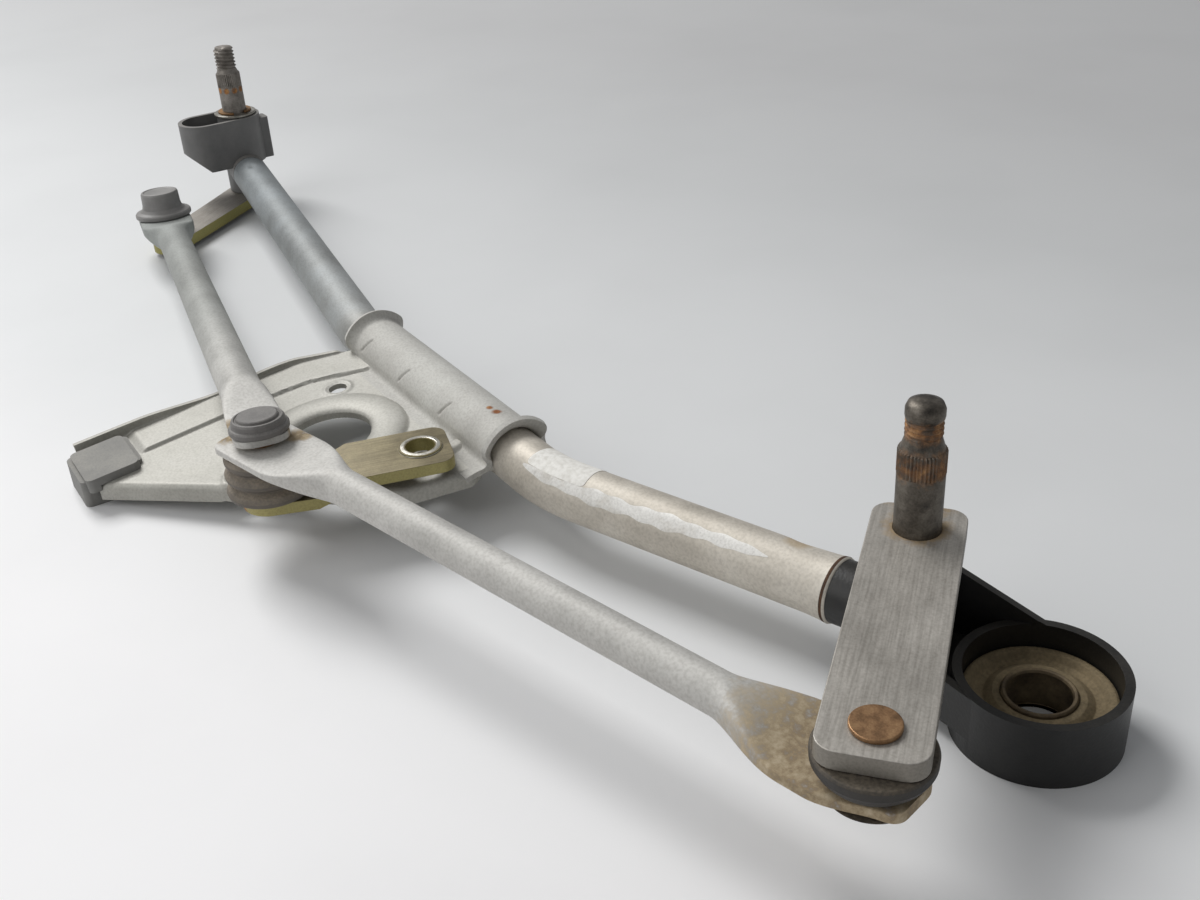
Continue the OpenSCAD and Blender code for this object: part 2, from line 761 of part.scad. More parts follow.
module near_spindle() {
    foot_z = near_ring_z - ring_t;
    color("gray") translate([near_x, spindle_y, 0]) {
        difference() {
            translate([0, 0, foot_z]) cylinder(d = shaft_d, h = near_lever_top + near_shaft_h - foot_z);
            translate([0, 0, near_ring_z]) ring(shaft_d + cut, ring_groove_d, ring_t);
        }
        spindle_tip(near_lever_top, near_shaft_h);
    }
}

module near_thrust_washer() {
    color("silver") translate([near_x, spindle_y, near_boss_z - gap - washer_t])
        ring(washer_d, shaft_d + 2 * run_fit, washer_t);
}

module near_retaining_ring() {
    color("silver") translate([near_x, spindle_y, 0]) retaining_ring(near_ring_z);
}

module near_lever() {
    color("darkgray") translate([near_x, spindle_y, near_lever_z]) rotate(park_angle) difference() {
        linear_extrude(lever_t)
            polygon(rounded_strip(-near_lever_head, lever_len + near_lever_tail, near_lever_w, near_lever_corner));
        translate([0, 0, -cut]) cylinder(d = shaft_d + 2 * seat_fit, h = lever_t + 2 * cut);
        translate([lever_len, 0, -cut]) cylinder(d = stud_d + 2 * seat_fit, h = lever_t + 2 * cut);
    }
}

module near_ball_stud() {
    color("#b0643c") translate([near_ball[0], near_ball[1], near_lever_z]) {
        mirror([0, 0, 1]) ball_stud(lever_t, near_lever_z - near_link_z);
        translate([0, 0, lever_t]) cylinder(d = rivet_d, h = rivet_h);
    }
}

// Link pressed from tube: flat ends at the ball axes x = 0 and x = l, the tube's axis above them
module link_bar(l, d, w0, nose0, rise0, w1, nose1, rise1, hole) {
    link_end(d, w0, nose0, rise0, hole);
    translate([l, 0, 0]) rotate(180) link_end(d, w1, nose1, rise1, hole);
    tube_from = flat_l + taper_l;
    span = l - 2 * tube_from;
    tube_l = norm([span, rise1 - rise0]);
    translate([tube_from, 0, rise0]) rotate([0, -atan2(rise1 - rise0, span), 0]) difference() {
        rod_x(d, tube_l);
        translate([link_wall, 0, 0]) rod_x(d - 2 * link_wall, tube_l - 2 * link_wall);
        for (x = [2 * vent_d, tube_l - 2 * vent_d]) translate([x, 0, -d]) cylinder(d = vent_d, h = d);
    }
}

// Flat end that narrows to its nose, with the socket hole, and its taper into the tube
module link_end(d, w, nose, rise, hole) {
    difference() {
        translate([0, 0, -flat_t / 2]) linear_extrude(flat_t)
            polygon(rounded([
                [-flat_over, -nose / 2], [flat_l, -w / 2], [flat_l, w / 2], [-flat_over, nose / 2]
            ], nose / 6));
        translate([0, 0, -flat_t]) cylinder(d = hole, h = 2 * flat_t);
    }
    hull() {
        translate([flat_l - w / 4, slice - w / 2, slice - flat_t / 2]) cube([slice, w - 2 * slice, flat_t - 2 * slice]);
        translate([flat_l + taper_l + link_wall / 3, 0, rise]) rotate([0, 90, 0]) cylinder(d = d - 4 * slice, h = slice, $fn = 32);
    }
}

module far_link_frame() {
    translate([far_ball[0], far_ball[1], far_ball_z]) rotate([0, -far_link_rise, far_link_turn]) children();
}

module near_link_frame() {
    translate([near_ball[0], near_ball[1], near_link_z]) rotate(near_link_turn) children();
}

socket_hole_d = socket_d + 2 * seat_fit;

module far_link_bar() {
    color("gainsboro") far_link_frame() link_bar(
        far_link_len, far_link_d, far_end_w, far_end_w, 0, far_end_w, far_end_w, 0, socket_hole_d);
}

module near_link_bar() {
    color("gainsboro") near_link_frame()
        link_bar(
        near_link_len, near_link_d, near_ball_w, near_nose_w, near_tube_rise, near_pin_w, near_pin_w, pin_tube_rise,
        socket_hole_d);
}

// Ball space of a socket with its mouth below
module socket_space(fit) {
    sphere(r = ball_r + fit);
    translate([0, 0, -2 * ball_d]) cylinder(d = mouth_d, h = 2 * ball_d);
}

// Snap-in socket with a brim on the link and a crown over the ball
module cap_socket(fit, brim, crown, crown_h, tail) {
    lower = flat_t / 2 + tail;
    difference() {
        union() {
            translate([0, 0, -lower]) cylinder(d = socket_d, h = lower + flat_t / 2 + seat_fit);
            translate([0, 0, flat_t / 2 + seat_fit]) cylinder(d = brim, h = brim_t);
            translate([0, 0, flat_t / 2 + seat_fit]) cylinder(d = crown, h = brim_t + crown_h);
        }
        socket_space(fit);
    }
}

module far_socket() {
    color("#4a4b4d") far_link_frame() cap_socket(run_fit, far_brim_d, far_crown_d, far_crown_h, socket_wall);
}

module centre_cap_socket() {
    crown_h = ball_r + open_fit + socket_wall - flat_t / 2 - brim_t;
    crown_d = centre_brim_d - brim_t;
    color("#4a4b4d") far_link_frame() translate([far_link_len, 0, 0])
        cap_socket(open_fit, centre_brim_d, crown_d, crown_h, gap);
}

module near_socket() {
    tip_d = neck_d;
    color("#2a2a2b") translate([near_ball[0], near_ball[1], near_link_z]) difference() {
        union() {
            translate([0, 0, -flat_t / 2 - seat_fit]) cylinder(d = socket_d, h = flat_t + seat_fit);
            translate([0, 0, -near_socket_drop]) cylinder(d1 = tip_d, d2 = near_ball_w - flat_t, h = near_socket_drop - flat_t / 2 - seat_fit);
        }
        mirror([0, 0, 1]) socket_space(run_fit);
    }
}

// Bellows of revolution between two flat lips
module bellows(h, d0, d1, lip_d, folds) {
    fold_h = h / folds;
    for (i = [0:folds - 1]) translate([0, 0, i * fold_h]) {
        fold_d = d0 + (d1 - d0) * (i + 0.5) / folds;
        difference() {
            union() {
                cylinder(d1 = fold_d - fold_h, d2 = fold_d, h = fold_h / 2);
                translate([0, 0, fold_h / 2]) cylinder(d1 = fold_d, d2 = fold_d - fold_h, h = fold_h / 2);
            }
            translate([0, 0, -cut]) cylinder(d = lip_d, h = fold_h + 2 * cut);
        }
    }
}

module near_boot() {
    lower_d = near_boot_d - 2 * boot_wall;
    color("#1f1f20") translate([near_ball[0], near_ball[1], near_link_z + flat_t / 2])
        bellows(near_boot_h, lower_d, near_boot_d, socket_d, 1);
}

module centre_lower_socket() {
    lower = ball_r + lower_ball_drop - socket_wall;
    color("#2a2a2b") translate([pin_x, pin_y, near_link_z]) difference() {
        translate([0, 0, -lower]) cylinder(d = socket_d, h = lower + flat_t / 2);
        translate([0, 0, -lower_ball_drop]) {
            socket_space(run_fit);
            cylinder(d = mouth_d, h = 2 * ball_d);
        }
    }
}

module centre_boot() {
    color("#3a342e") translate([pin_x, pin_y, pin_end_top + gap])
        bellows(boot_h - gap, boot_d + boot_wall, boot_d, socket_d + boot_wall, 2);
}

// Offset crank: the plan outline cut by its side profile
module motor_crank() {
    far_edge = crank_len + crank_eye_over;
    outline = concat(
        arc([0, 0], crank_pin_r, 90, 270, 24),
        [[crank_bend_to, -crank_eye_w / 2]],
        corner([0, -crank_eye_w / 2], [far_edge, -crank_eye_w / 2], [far_edge, 0], crank_eye_over / 2, 6),
        corner([far_edge, 0], [far_edge, crank_eye_w / 2], [0, crank_eye_w / 2], crank_eye_over / 2, 6),
        [[crank_bend_to, crank_eye_w / 2]]
    );
    profile = [
        [-2 * crank_pin_r, 0], [crank_bend_from, 0], [crank_bend_to, crank_rise], [2 * far_edge, crank_rise],
        [2 * far_edge, crank_rise + crank_t], [crank_bend_to, crank_rise + crank_t], [crank_bend_from, crank_t],
        [-2 * crank_pin_r, crank_t]
    ];
    collar_rise = bolt_pad_h;
    color("#9a8f45") translate([pin_x, pin_y, crank_z]) rotate(crank_angle) difference() {
        union() {
            intersection() {
                linear_extrude(crank_rise + crank_t) polygon(outline);
                translate([0, crank_eye_w, 0]) rotate([90, 0, 0]) linear_extrude(2 * crank_eye_w) polygon(profile);
            }
            translate([crank_len, 0, crank_rise]) cylinder(d = crank_collar_d, h = crank_t + collar_rise);
        }
        translate([0, 0, -cut]) cylinder(d = stud_d + 2 * seat_fit, h = crank_t + 2 * cut);
        translate([crank_len, 0, 0]) cylinder(d = crank_bore_d, h = crank_rise + crank_t + collar_rise + cut);
    }
}

// Stud with one ball for each link
module crank_double_stud() {
    color("tan") translate([pin_x, pin_y, pin_end_top]) {
        ball_stud(crank_t, lower_ball_z - pin_end_top);
        cylinder(d = neck_d, h = pin_link_z - pin_end_top);
        translate([0, 0, pin_link_z - pin_end_top]) sphere(d = ball_d);
    }
}

frame_tube();
motor_plate();
rubber_foot();
far_housing();
far_upper_bush();
far_lower_bush();
near_housing();
near_upper_bush();
near_lower_bush();
eye_bush();
eye_sleeve();
far_spindle();
far_thrust_washer();
far_retaining_ring();
far_lever();
far_ball_stud();
near_spindle();
near_thrust_washer();
near_retaining_ring();
near_lever();
near_ball_stud();
far_link_bar();
far_socket();
centre_cap_socket();
near_link_bar();
near_socket();
near_boot();
centre_lower_socket();
centre_boot();
motor_crank();
crank_double_stud();
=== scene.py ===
import json
import math

import bmesh
import bpy
import numpy as np
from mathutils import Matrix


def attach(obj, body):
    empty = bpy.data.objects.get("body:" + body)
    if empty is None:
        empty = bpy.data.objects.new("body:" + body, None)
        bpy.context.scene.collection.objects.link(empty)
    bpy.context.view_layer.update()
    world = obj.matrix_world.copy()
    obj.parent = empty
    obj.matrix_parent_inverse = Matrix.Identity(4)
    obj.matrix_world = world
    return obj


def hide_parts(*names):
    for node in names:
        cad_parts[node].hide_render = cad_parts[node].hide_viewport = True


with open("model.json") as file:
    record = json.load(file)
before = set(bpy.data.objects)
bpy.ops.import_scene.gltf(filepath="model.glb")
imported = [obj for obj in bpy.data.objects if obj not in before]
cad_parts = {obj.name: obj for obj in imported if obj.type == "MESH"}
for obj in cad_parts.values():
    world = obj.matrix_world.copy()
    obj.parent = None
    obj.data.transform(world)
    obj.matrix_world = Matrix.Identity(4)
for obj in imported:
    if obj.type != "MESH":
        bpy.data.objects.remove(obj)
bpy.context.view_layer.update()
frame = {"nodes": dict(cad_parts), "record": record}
mm = 0.001

# Camera: it looks down at the near spindle from beside the near lever, a little rolled,
# with a normal lens that takes in the whole linkage.
camera = bpy.data.objects.new("camera", bpy.data.cameras.new("camera"))
bpy.context.scene.collection.objects.link(camera)
camera.data.sensor_fit = "HORIZONTAL"
camera.data.sensor_width = 36.0
camera.data.lens = 40.876
camera.data.clip_start = 0.01
camera_pitch, camera_roll, camera_turn = 60.172, 3.142, 57.111
camera.location = (396.3 * mm, -131.8 * mm, 223.2 * mm)
camera.rotation_euler = (math.radians(camera_pitch), math.radians(camera_roll), math.radians(camera_turn))
bpy.context.scene.camera = camera
bpy.context.scene.view_settings.view_transform = "Standard"

# Studio floor: a painted white board that the linkage lies on, lit from the left and above by
# large soft lamps. Painted shade darkens it to grey towards the back.
ground, floor_reach = -14.0 * mm, 6.0
fade_way, fade_from, fade_to = (-0.359, 0.918, 0.0), -0.1, 0.55
scuffs_per_metre = 9.0
multiply = {"data_type": "RGBA", "blend_type": "MULTIPLY"}


def srgb(code):
    """Turns an sRGB hex colour into linear red, green, blue and alpha."""
    part = np.array([int(code[i:i + 2], 16) for i in (1, 3, 5)]) / 255.0
    line = np.where(part <= 0.04045, part / 12.92, ((part + 0.055) / 1.055) ** 2.4)
    return (*line.tolist(), 1.0)


def add(tree, kind, inputs, stops=(), **settings):
    """Adds a shader node, sets its properties, links or fills its inputs, sets the places and hex
    colours of its ramp if it has one, and returns its outputs."""
    made = tree.nodes.new("ShaderNode" + kind)
    for name, value in settings.items():
        setattr(made, name, value)
    for socket, value in inputs.items():
        if isinstance(value, bpy.types.NodeSocket):
            tree.links.new(value, made.inputs[socket])
        else:
            made.inputs[socket].default_value = value
    if stops:
        line = made.color_ramp.elements
        while len(line) < len(stops):
            line.new(0.5)
        for element, (position, code) in zip(line, stops):
            element.position = position
            element.color = srgb(code)
    return made.outputs


def new_material(name):
    """Makes an empty node material and returns it with its tree and shader."""
    made = bpy.data.materials.new(name)
    made.use_nodes = True
    return made, made.node_tree, made.node_tree.nodes["Principled BSDF"]


floor_mesh = bpy.data.meshes.new("floor")
floor_corners = [(x * floor_reach, y * floor_reach, ground) for x, y in ((-1, -1), (1, -1), (1, 1), (-1, 1))]
floor_mesh.from_pydata(floor_corners, [], [(0, 1, 2, 3)])
floor = bpy.data.objects.new("floor", floor_mesh)
bpy.context.scene.collection.objects.link(floor)
# Painted board: matt white with faint scuffs, so it takes soft shadows and shows no clear reflection.
floor_paint, tree, shader = new_material("white_painted_board")
place = add(tree, "TexCoord", {})["Object"]
away = add(tree, "VectorMath", {0: place, 1: fade_way}, operation="DOT_PRODUCT")["Value"]
fade = add(tree, "MapRange", {"Value": away, "From Min": fade_from, "From Max": fade_to})["Result"]
scuffs = add(tree, "TexNoise", {"Vector": place, "Scale": scuffs_per_metre, "Detail": 6.0})["Fac"]
# Painted shade: this tone ramp darkens the board to grey towards the back, standing in for the lamps'
# falloff.
tone = add(tree, "ValToRGB", {"Fac": fade}, [
    (0.0, "#f4f3f3"), (0.175, "#e4e5e5"), (0.425, "#d9dada"), (0.63, "#cacbcb"), (0.97, "#bfbfbf")])["Color"]
specks = add(tree, "ValToRGB", {"Fac": scuffs}, [(0.3, "#fbfbfb"), (0.55, "#ffffff")])["Color"]
painted = add(tree, "Mix", {"Factor": 1.0, "A": tone, "B": specks}, **multiply)["Result"]
tree.links.new(painted, shader.inputs["Base Color"])
shader.inputs["Roughness"].default_value = 0.55
floor_mesh.materials.append(floor_paint)

world = bpy.data.worlds.new("studio")
bpy.context.scene.world = world
world.use_nodes = True
sky = world.node_tree.nodes["Background"]
sky.inputs["Color"].default_value = srgb("#e9ebee")
sky.inputs["Strength"].default_value = 0.3


def lamp(name, place, aim, width, power):
    """Hangs one square soft lamp at a place in metres, facing a point."""
    light = bpy.data.lights.new(name, "AREA")
    light.size = width
    light.energy = power
    hung = bpy.data.objects.new(name, light)
    bpy.context.scene.collection.objects.link(hung)
    hung.location = place
    look = np.array(aim) - np.array(place)
    hung.rotation_euler = (
        math.atan2(math.hypot(look[0], look[1]), -look[2]), 0.0, math.atan2(look[1], look[0]) - math.pi / 2)


lamp("key_lamp", (-1.7, -0.15, 1.9), (0.05, 0.0, 0.0), 1.2, 47.0)
lamp("fill_lamp", (-0.1, -1.2, 0.9), (0.1, 0.0, 0.0), 1.2, 7.0)

# Frame tube: drawn steel tube, galvanised, bent twice and slid over the spigots of the two
# housings. Its near end is flared, and staking marks hold it there.
far_axis, near_axis = np.array([-302.0, 81.0]), np.array([194.0, 81.0])
plate_tilt = math.radians(6.0)
saddle_y, sheet_t = 42.0, 2.0
tube_r, tube_wall, bend_r = 9.0, 1.6, 70.0
far_setback, near_setback = 17.0, 20.5
flare_rise, flare_len = 0.55, 9.0
stake_deep, stake_long, stake_turn = 0.9, 3.4, 0.24
tube_y = saddle_y * math.cos(plate_tilt) - sheet_t / 2 * math.sin(plate_tilt)
tube_z = saddle_y * math.sin(plate_tilt) + sheet_t / 2 * math.cos(plate_tilt)
tint_from, tint_to = -302.0, 242.0


def rounded(line, radius, steps):
    """Rounds a polyline's corners with quadratic curves: each starts and ends one tangent
    length from its corner, which is the radius over the tangent of half the corner's angle."""
    line = np.asarray(line, float)
    before, after = np.roll(line, 1, 0), np.roll(line, -1, 0)
    span_in, span_out = np.linalg.norm(before - line, axis=1), np.linalg.norm(after - line, axis=1)
    to_in = (before - line) / np.maximum(span_in, 1e-9)[:, None]
    to_out = (after - line) / np.maximum(span_out, 1e-9)[:, None]
    half = np.arccos(np.clip((to_in * to_out).sum(1), -1, 1)) / 2
    longest = 0.48 * np.minimum(span_in, span_out)
    tangent = np.minimum(radius / np.tan(np.clip(half, 0.02, 1.5707)), longest)
    t = np.linspace(0, 1, steps)[None, :, None]
    start, end = line + to_in * tangent[:, None], line + to_out * tangent[:, None]
    curve = (1 - t) ** 2 * start[:, None] + 2 * t * (1 - t) * line[:, None] + t ** 2 * end[:, None]
    return np.vstack([line[:1], curve[1:-1].reshape(-1, line.shape[1]), line[-1:]])


def spaced(line, count):
    """Walks a polyline in equal steps."""
    run = np.concatenate([[0], np.cumsum(np.linalg.norm(np.diff(line, axis=0), axis=1))])
    where = np.linspace(0, run[-1], count)
    return np.stack([np.interp(where, run, line[:, k]) for k in range(line.shape[1])], 1)


def surface(name, points, wrap_rows=False, wrap_columns=False, body="frame", replaces=None, sharp=40.0):
    """Makes a mesh of quads from a grid of points in millimetres, joined round where it wraps,
    smooth but for edges sharper than an angle in degrees, and lets it ride on a body."""
    rows, columns = points.shape[:2]
    index = np.arange(rows * columns).reshape(rows, columns)
    if wrap_rows:
        index = np.vstack([index, index[:1]])
    if wrap_columns:
        index = np.hstack([index, index[:, :1]])
    quads = np.stack([index[:-1, :-1], index[1:, :-1], index[1:, 1:], index[:-1, 1:]], -1).reshape(-1, 4)
    mesh = bpy.data.meshes.new(name)
    mesh.from_pydata((points.reshape(-1, 3) * mm).tolist(), [], quads.tolist())
    mesh.polygons.foreach_set("use_smooth", np.ones(len(quads), bool))
    mesh.set_sharp_from_angle(angle=math.radians(sharp))
    made = bpy.data.objects.new(name, mesh)
    bpy.context.scene.collection.objects.link(made)
    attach(made, body)
    if replaces:
        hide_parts(replaces)
    return made


def plated_steel(name, base, pale, dark, blotch, grain, rough, metallic, bump=0.12, streak=None, edge=None,
                 tint=None, rust=(), tones=("#5d3a20", "#8f5830", "#b08358")):
    """Steel under zinc or chromate, or bare and brushed: cloudy patches of blotch millimetres in three
    tones, darkened by specks of grain millimetres. It can have lines along an angle in degrees, another
    colour on upright faces where the cut edge differs, a tint that changes along the linkage, and rust
    or dirt of three tones round given places and radii. The grain of real zinc and steel is finer than
    a pixel, so it is drawn as coarse as it needs to show."""
    made, tree, shader = new_material(name)
    coords = add(tree, "TexCoord", {})
    place = coords["Object"]
    cloud = add(tree, "TexNoise", {
        "Vector": place, "Scale": 1 / (blotch * mm), "Detail": 5.0, "Roughness": 0.62})["Fac"]
    fine = add(tree, "TexNoise", {"Vector": place, "Scale": 1 / (grain * mm), "Detail": 3.0})["Fac"]
    colour = add(tree, "ValToRGB", {"Fac": cloud}, [(0.3, dark), (0.48, base), (0.68, pale)])["Color"]
    specks = add(tree, "ValToRGB", {"Fac": fine}, [(0.25, "#c4c2be"), (0.6, "#ffffff")])["Color"]
    colour = add(tree, "Mix", {"Factor": 0.45, "A": colour, "B": specks}, **multiply)["Result"]
    height = fine
    if streak is not None:
        drawn_out = {"Vector": place, "Rotation": (0, 0, math.radians(streak)), "Scale": (20.0, 1.0, 1.6)}
        lying = add(tree, "Mapping", drawn_out, vector_type="TEXTURE")["Vector"]
        height = add(tree, "TexNoise", {"Vector": lying, "Scale": 1 / (grain * mm), "Detail": 4.0})["Fac"]
        lines = add(tree, "ValToRGB", {"Fac": height}, [(0.34, "#a9a7a3"), (0.62, "#ffffff")])["Color"]
        colour = add(tree, "Mix", {"Factor": 0.4, "A": colour, "B": lines}, **multiply)["Result"]
    if edge:
        facing = add(tree, "SeparateXYZ", {0: coords["Normal"]})["Z"]
        level = add(tree, "Math", {0: facing}, operation="ABSOLUTE")["Value"]
        upright = add(tree, "MapRange", {"Value": level, "From Min": 0.75, "From Max": 0.4})["Result"]
        cut = add(tree, "Mix", {"Factor": 0.5, "A": srgb(edge), "B": specks}, **multiply)["Result"]
        colour = add(tree, "Mix", {"Factor": upright, "A": colour, "B": cut}, data_type="RGBA")["Result"]
    roughness = add(tree, "MapRange", {
        "Value": cloud, "From Min": 0.3, "From Max": 0.7, "To Min": rough[0], "To Max": rough[1]})["Result"]
    if tint:
        along = add(tree, "SeparateXYZ", {0: place})["X"]
        share = add(tree, "MapRange", {
            "Value": along, "From Min": tint_from * mm, "From Max": tint_to * mm})["Result"]
        # Multiplies the colour by a ramp along X that is darker and tinted towards the far end.
        far_end_tint = add(tree, "ValToRGB", {"Fac": share}, tint)["Color"]
        colour = add(tree, "Mix", {"Factor": 1.0, "A": colour, "B": far_end_tint}, **multiply)["Result"]
    shader.inputs["Metallic"].default_value = metallic
    if rust:
        mask = 0.0
        for spot, radius in rust:
            centre = tuple(np.array(spot) * mm)
            away = add(tree, "VectorMath", {0: place, 1: centre}, operation="DISTANCE")["Value"]
            inside = add(tree, "MapRange", {
                "Value": away, "From Min": radius * mm, "From Max": 0.35 * radius * mm})["Result"]
            mask = add(tree, "Math", {0: mask, 1: inside}, operation="MAXIMUM")["Value"]
        flaky = add(tree, "TexNoise", {
            "Vector": place, "Scale": 1 / (3.2 * mm), "Detail": 6.0, "Roughness": 0.7})["Fac"]
        spread = add(tree, "Math", {0: mask, 1: flaky}, operation="MULTIPLY")["Value"]
        mask = add(tree, "MapRange", {"Value": spread, "From Min": 0.2, "From Max": 0.42})["Result"]
        crust = add(tree, "ValToRGB", {"Fac": flaky}, list(zip((0.35, 0.5, 0.66), tones)))["Color"]
        colour = add(tree, "Mix", {"Factor": mask, "A": colour, "B": crust}, data_type="RGBA")["Result"]
        roughness = add(tree, "Mix", {"Factor": mask, "A": roughness, "B": 0.85})["Result"]
        dull = add(tree, "Mix", {"Factor": mask, "A": metallic, "B": 0.1})["Result"]
        tree.links.new(dull, shader.inputs["Metallic"])
    tree.links.new(colour, shader.inputs["Base Color"])
    tree.links.new(roughness, shader.inputs["Roughness"])
    relief = add(tree, "Bump", {"Height": height, "Strength": bump, "Distance": 0.3 * mm})["Normal"]
    tree.links.new(relief, shader.inputs["Normal"])
    return made


def finish(piece, material):
    """Gives a piece its finish."""
    piece.data.materials.clear()
    piece.data.materials.append(material)


far_bend, near_bend = np.array([-62.0, tube_y]), np.array([78.0, tube_y])
far_along = (far_bend - far_axis) / np.linalg.norm(far_bend - far_axis)
near_along = (near_axis - near_bend) / np.linalg.norm(near_axis - near_bend)
tube_start, tube_end = far_axis + far_setback * far_along, near_axis - near_setback * near_along
tube_line = spaced(rounded([tube_start, far_bend, near_bend, tube_end], bend_r, 24), 460)
tube_run = np.concatenate([[0], np.cumsum(np.linalg.norm(np.diff(tube_line, axis=0), axis=1))])
tube_dir = np.gradient(tube_line, tube_run, axis=0)
tube_len = tube_run[-1]


def along_tube(run, radius, angle):
    """A point at a run along the tube's axis, a radius from it, and an angle that starts on the
    left-hand side of the axis and goes over the top."""
    centre = np.stack([np.interp(run, tube_run, tube_line[:, k]) for k in (0, 1)], -1)
    ahead = np.stack([np.interp(run, tube_run, tube_dir[:, k]) for k in (0, 1)], -1)
    side = radius * np.cos(angle)
    return np.stack([
        centre[..., 0] - ahead[..., 1] * side, centre[..., 1] + ahead[..., 0] * side,
        tube_z + radius * np.sin(angle)], -1)


def flared(run):
    """How far the tube's wall opens at a run: the square of the way through the flare."""
    return flare_rise * np.clip((run - tube_len + flare_len) / flare_len, 0, 1) ** 2


rim_run = np.array([0.8, 0.3, 0.0, 0.0, 0.3, 0.8])
rim_depth = np.array([0.0, 0.15, 0.5, 1.1, 1.45, 1.6])
outer = np.linspace(rim_run[0], tube_len - rim_run[0], 440)
inner = np.linspace(tube_len - rim_run[0], rim_run[0], 60)
runs = np.concatenate([outer, tube_len - rim_run, inner, rim_run[::-1]])
depth = np.concatenate([0 * outer, rim_depth, tube_wall + 0 * inner, rim_depth[::-1]])
angle = np.linspace(0, 2 * np.pi, 96, endpoint=False)
run_grid, angle_grid = np.meshgrid(runs, angle, indexing="ij")
radius = (tube_r + flared(runs) - depth)[:, None] * np.ones_like(angle_grid)
stakes = (
    (tube_len - 20.5, 1.87), (tube_len - 9.5, 2.65), (tube_len - 14.0, 5.5), (14.0, 2.4), (15.0, 4.6))
for stake_run, stake_angle in stakes:
    turn = np.angle(np.exp(1j * (angle_grid - stake_angle)))
    dent = np.exp(-((run_grid - stake_run) / stake_long) ** 2 - (turn / stake_turn) ** 2)
    radius = radius - stake_deep * dent
tube_points = along_tube(run_grid, radius, -angle_grid)
tube = surface("frame_tube_skin", tube_points, wrap_rows=True, wrap_columns=True, replaces="frame_tube")
# Galvanised steel: a broad soft sheen under beige, cloudy dirt, bluer towards the far end.
dirt_place = tuple(along_tube(tube_len - 15.0, tube_r, math.radians(65)))
galvanised = plated_steel(
    "galvanised_drawn_steel", "#cbc4b8", "#dad4c9", "#b8b1a5", 26.0, 0.9, (0.52, 0.64), 0.4,
    tint=[(0.1, "#b6c3d2"), (0.42, "#cad3de"), (0.62, "#ffffff")],
    rust=[(dirt_place, 7.0)], tones=("#a2917a", "#b3a48d", "#c2b6a2"))
finish(tube, galvanised)

# Dark mouth band: a thin brown line at the cut near end of the tube, which lost its zinc when it was
# flared over the spigot. The line is partly rust and partly painted shade of the gap at the spigot.
mouth_from, mouth_to = tube_len - 1.6, tube_len - 0.7
mouth_proud, mouth_t = 0.04, 0.03


def thickened(piece, thickness, cutters=()):
    """Gives a sheet its thickness under its outer face, cuts holes, and keeps the result."""
    wall = piece.modifiers.new("wall", "SOLIDIFY")
    wall.thickness = thickness * mm
    wall.offset = -1.0
    for cutter in cutters:
        hole = piece.modifiers.new("hole", "BOOLEAN")
        hole.operation = "DIFFERENCE"
        hole.solver = "EXACT"
        hole.object = cutter
    made = bpy.data.meshes.new_from_object(piece.evaluated_get(bpy.context.evaluated_depsgraph_get()))
    made.polygons.foreach_set("use_smooth", np.ones(len(made.polygons), bool))
    made.set_sharp_from_angle(angle=math.radians(40))
    piece.modifiers.clear()
    piece.data = made
    for cutter in cutters:
        bpy.data.objects.remove(cutter)


mouth_run, mouth_turn = np.meshgrid(np.linspace(mouth_from, mouth_to, 6), -angle, indexing="ij")
mouth_r = tube_r + flared(mouth_run) + mouth_proud
mouth = surface("gap_shade_and_rust_band", along_tube(mouth_run, mouth_r, mouth_turn), wrap_columns=True)
thickened(mouth, mouth_t)
# Rust and painted gap shade: dark brown, rough and without any sheen.
rust_and_gap_shade = plated_steel("rust_and_gap_shade_brown", "#4a3220", "#6a4a2e", "#33231a", 3.0, 0.5, (0.8, 0.9), 0.0)
finish(mouth, rust_and_gap_shade)

# Paper label: a blank strip with round corners, glued along the top of the tube beside the saddle
# and dulled by dirt.
leg_start = tube_len - 102.0
label_long, label_wide, label_corner, label_middle = 23.0, 13.8, 1.5, 6.3
label_proud, label_t = 0.12, 0.1
label_run = np.linspace(-label_long / 2, label_long / 2, 40) + label_middle + leg_start
label_turn = np.radians(np.linspace(40.0, 128.0, 40))
run_grid, turn_grid = np.meshgrid(label_run, label_turn, indexing="ij")
length = run_grid - run_grid.mean()
across = (turn_grid - turn_grid.mean()) / np.ptp(label_turn) * label_wide
straight_long, straight_wide = label_long / 2 - label_corner, label_wide / 2 - label_corner
past_long = np.clip(np.abs(length) - straight_long, 0, None)
past_wide = np.clip(np.abs(across) - straight_wide, 0, None)
from_corner = np.hypot(past_long, past_wide)
pull = np.where(from_corner > label_corner, label_corner / np.maximum(from_corner, 1e-6), 1.0)
length = np.sign(length) * (np.minimum(np.abs(length), straight_long) + past_long * pull)
across = np.sign(across) * (np.minimum(np.abs(across), straight_wide) + past_wide * pull)
label_points = along_tube(
    length + run_grid.mean(), np.full_like(length, tube_r + label_proud),
    across / label_wide * np.ptp(label_turn) + turn_grid.mean())
label = surface("paper_label", label_points[:, ::-1])
thickened(label, label_t)
# Matt paper: off-white without sheen, its fibres drawn 1.6 mm long so that they show.
paper, tree, shader = new_material("matt_label_paper")
place = add(tree, "TexCoord", {})["Object"]
fibres = add(tree, "TexNoise", {"Vector": place, "Scale": 1 / (1.6 * mm), "Detail": 5.0})["Fac"]
paper_tone = add(tree, "ValToRGB", {"Fac": fibres}, [(0.3, "#d8d5cd"), (0.6, "#efede7")])["Color"]
tree.links.new(paper_tone, shader.inputs["Base Color"])
shader.inputs["Roughness"].default_value = 0.7
finish(label, paper)
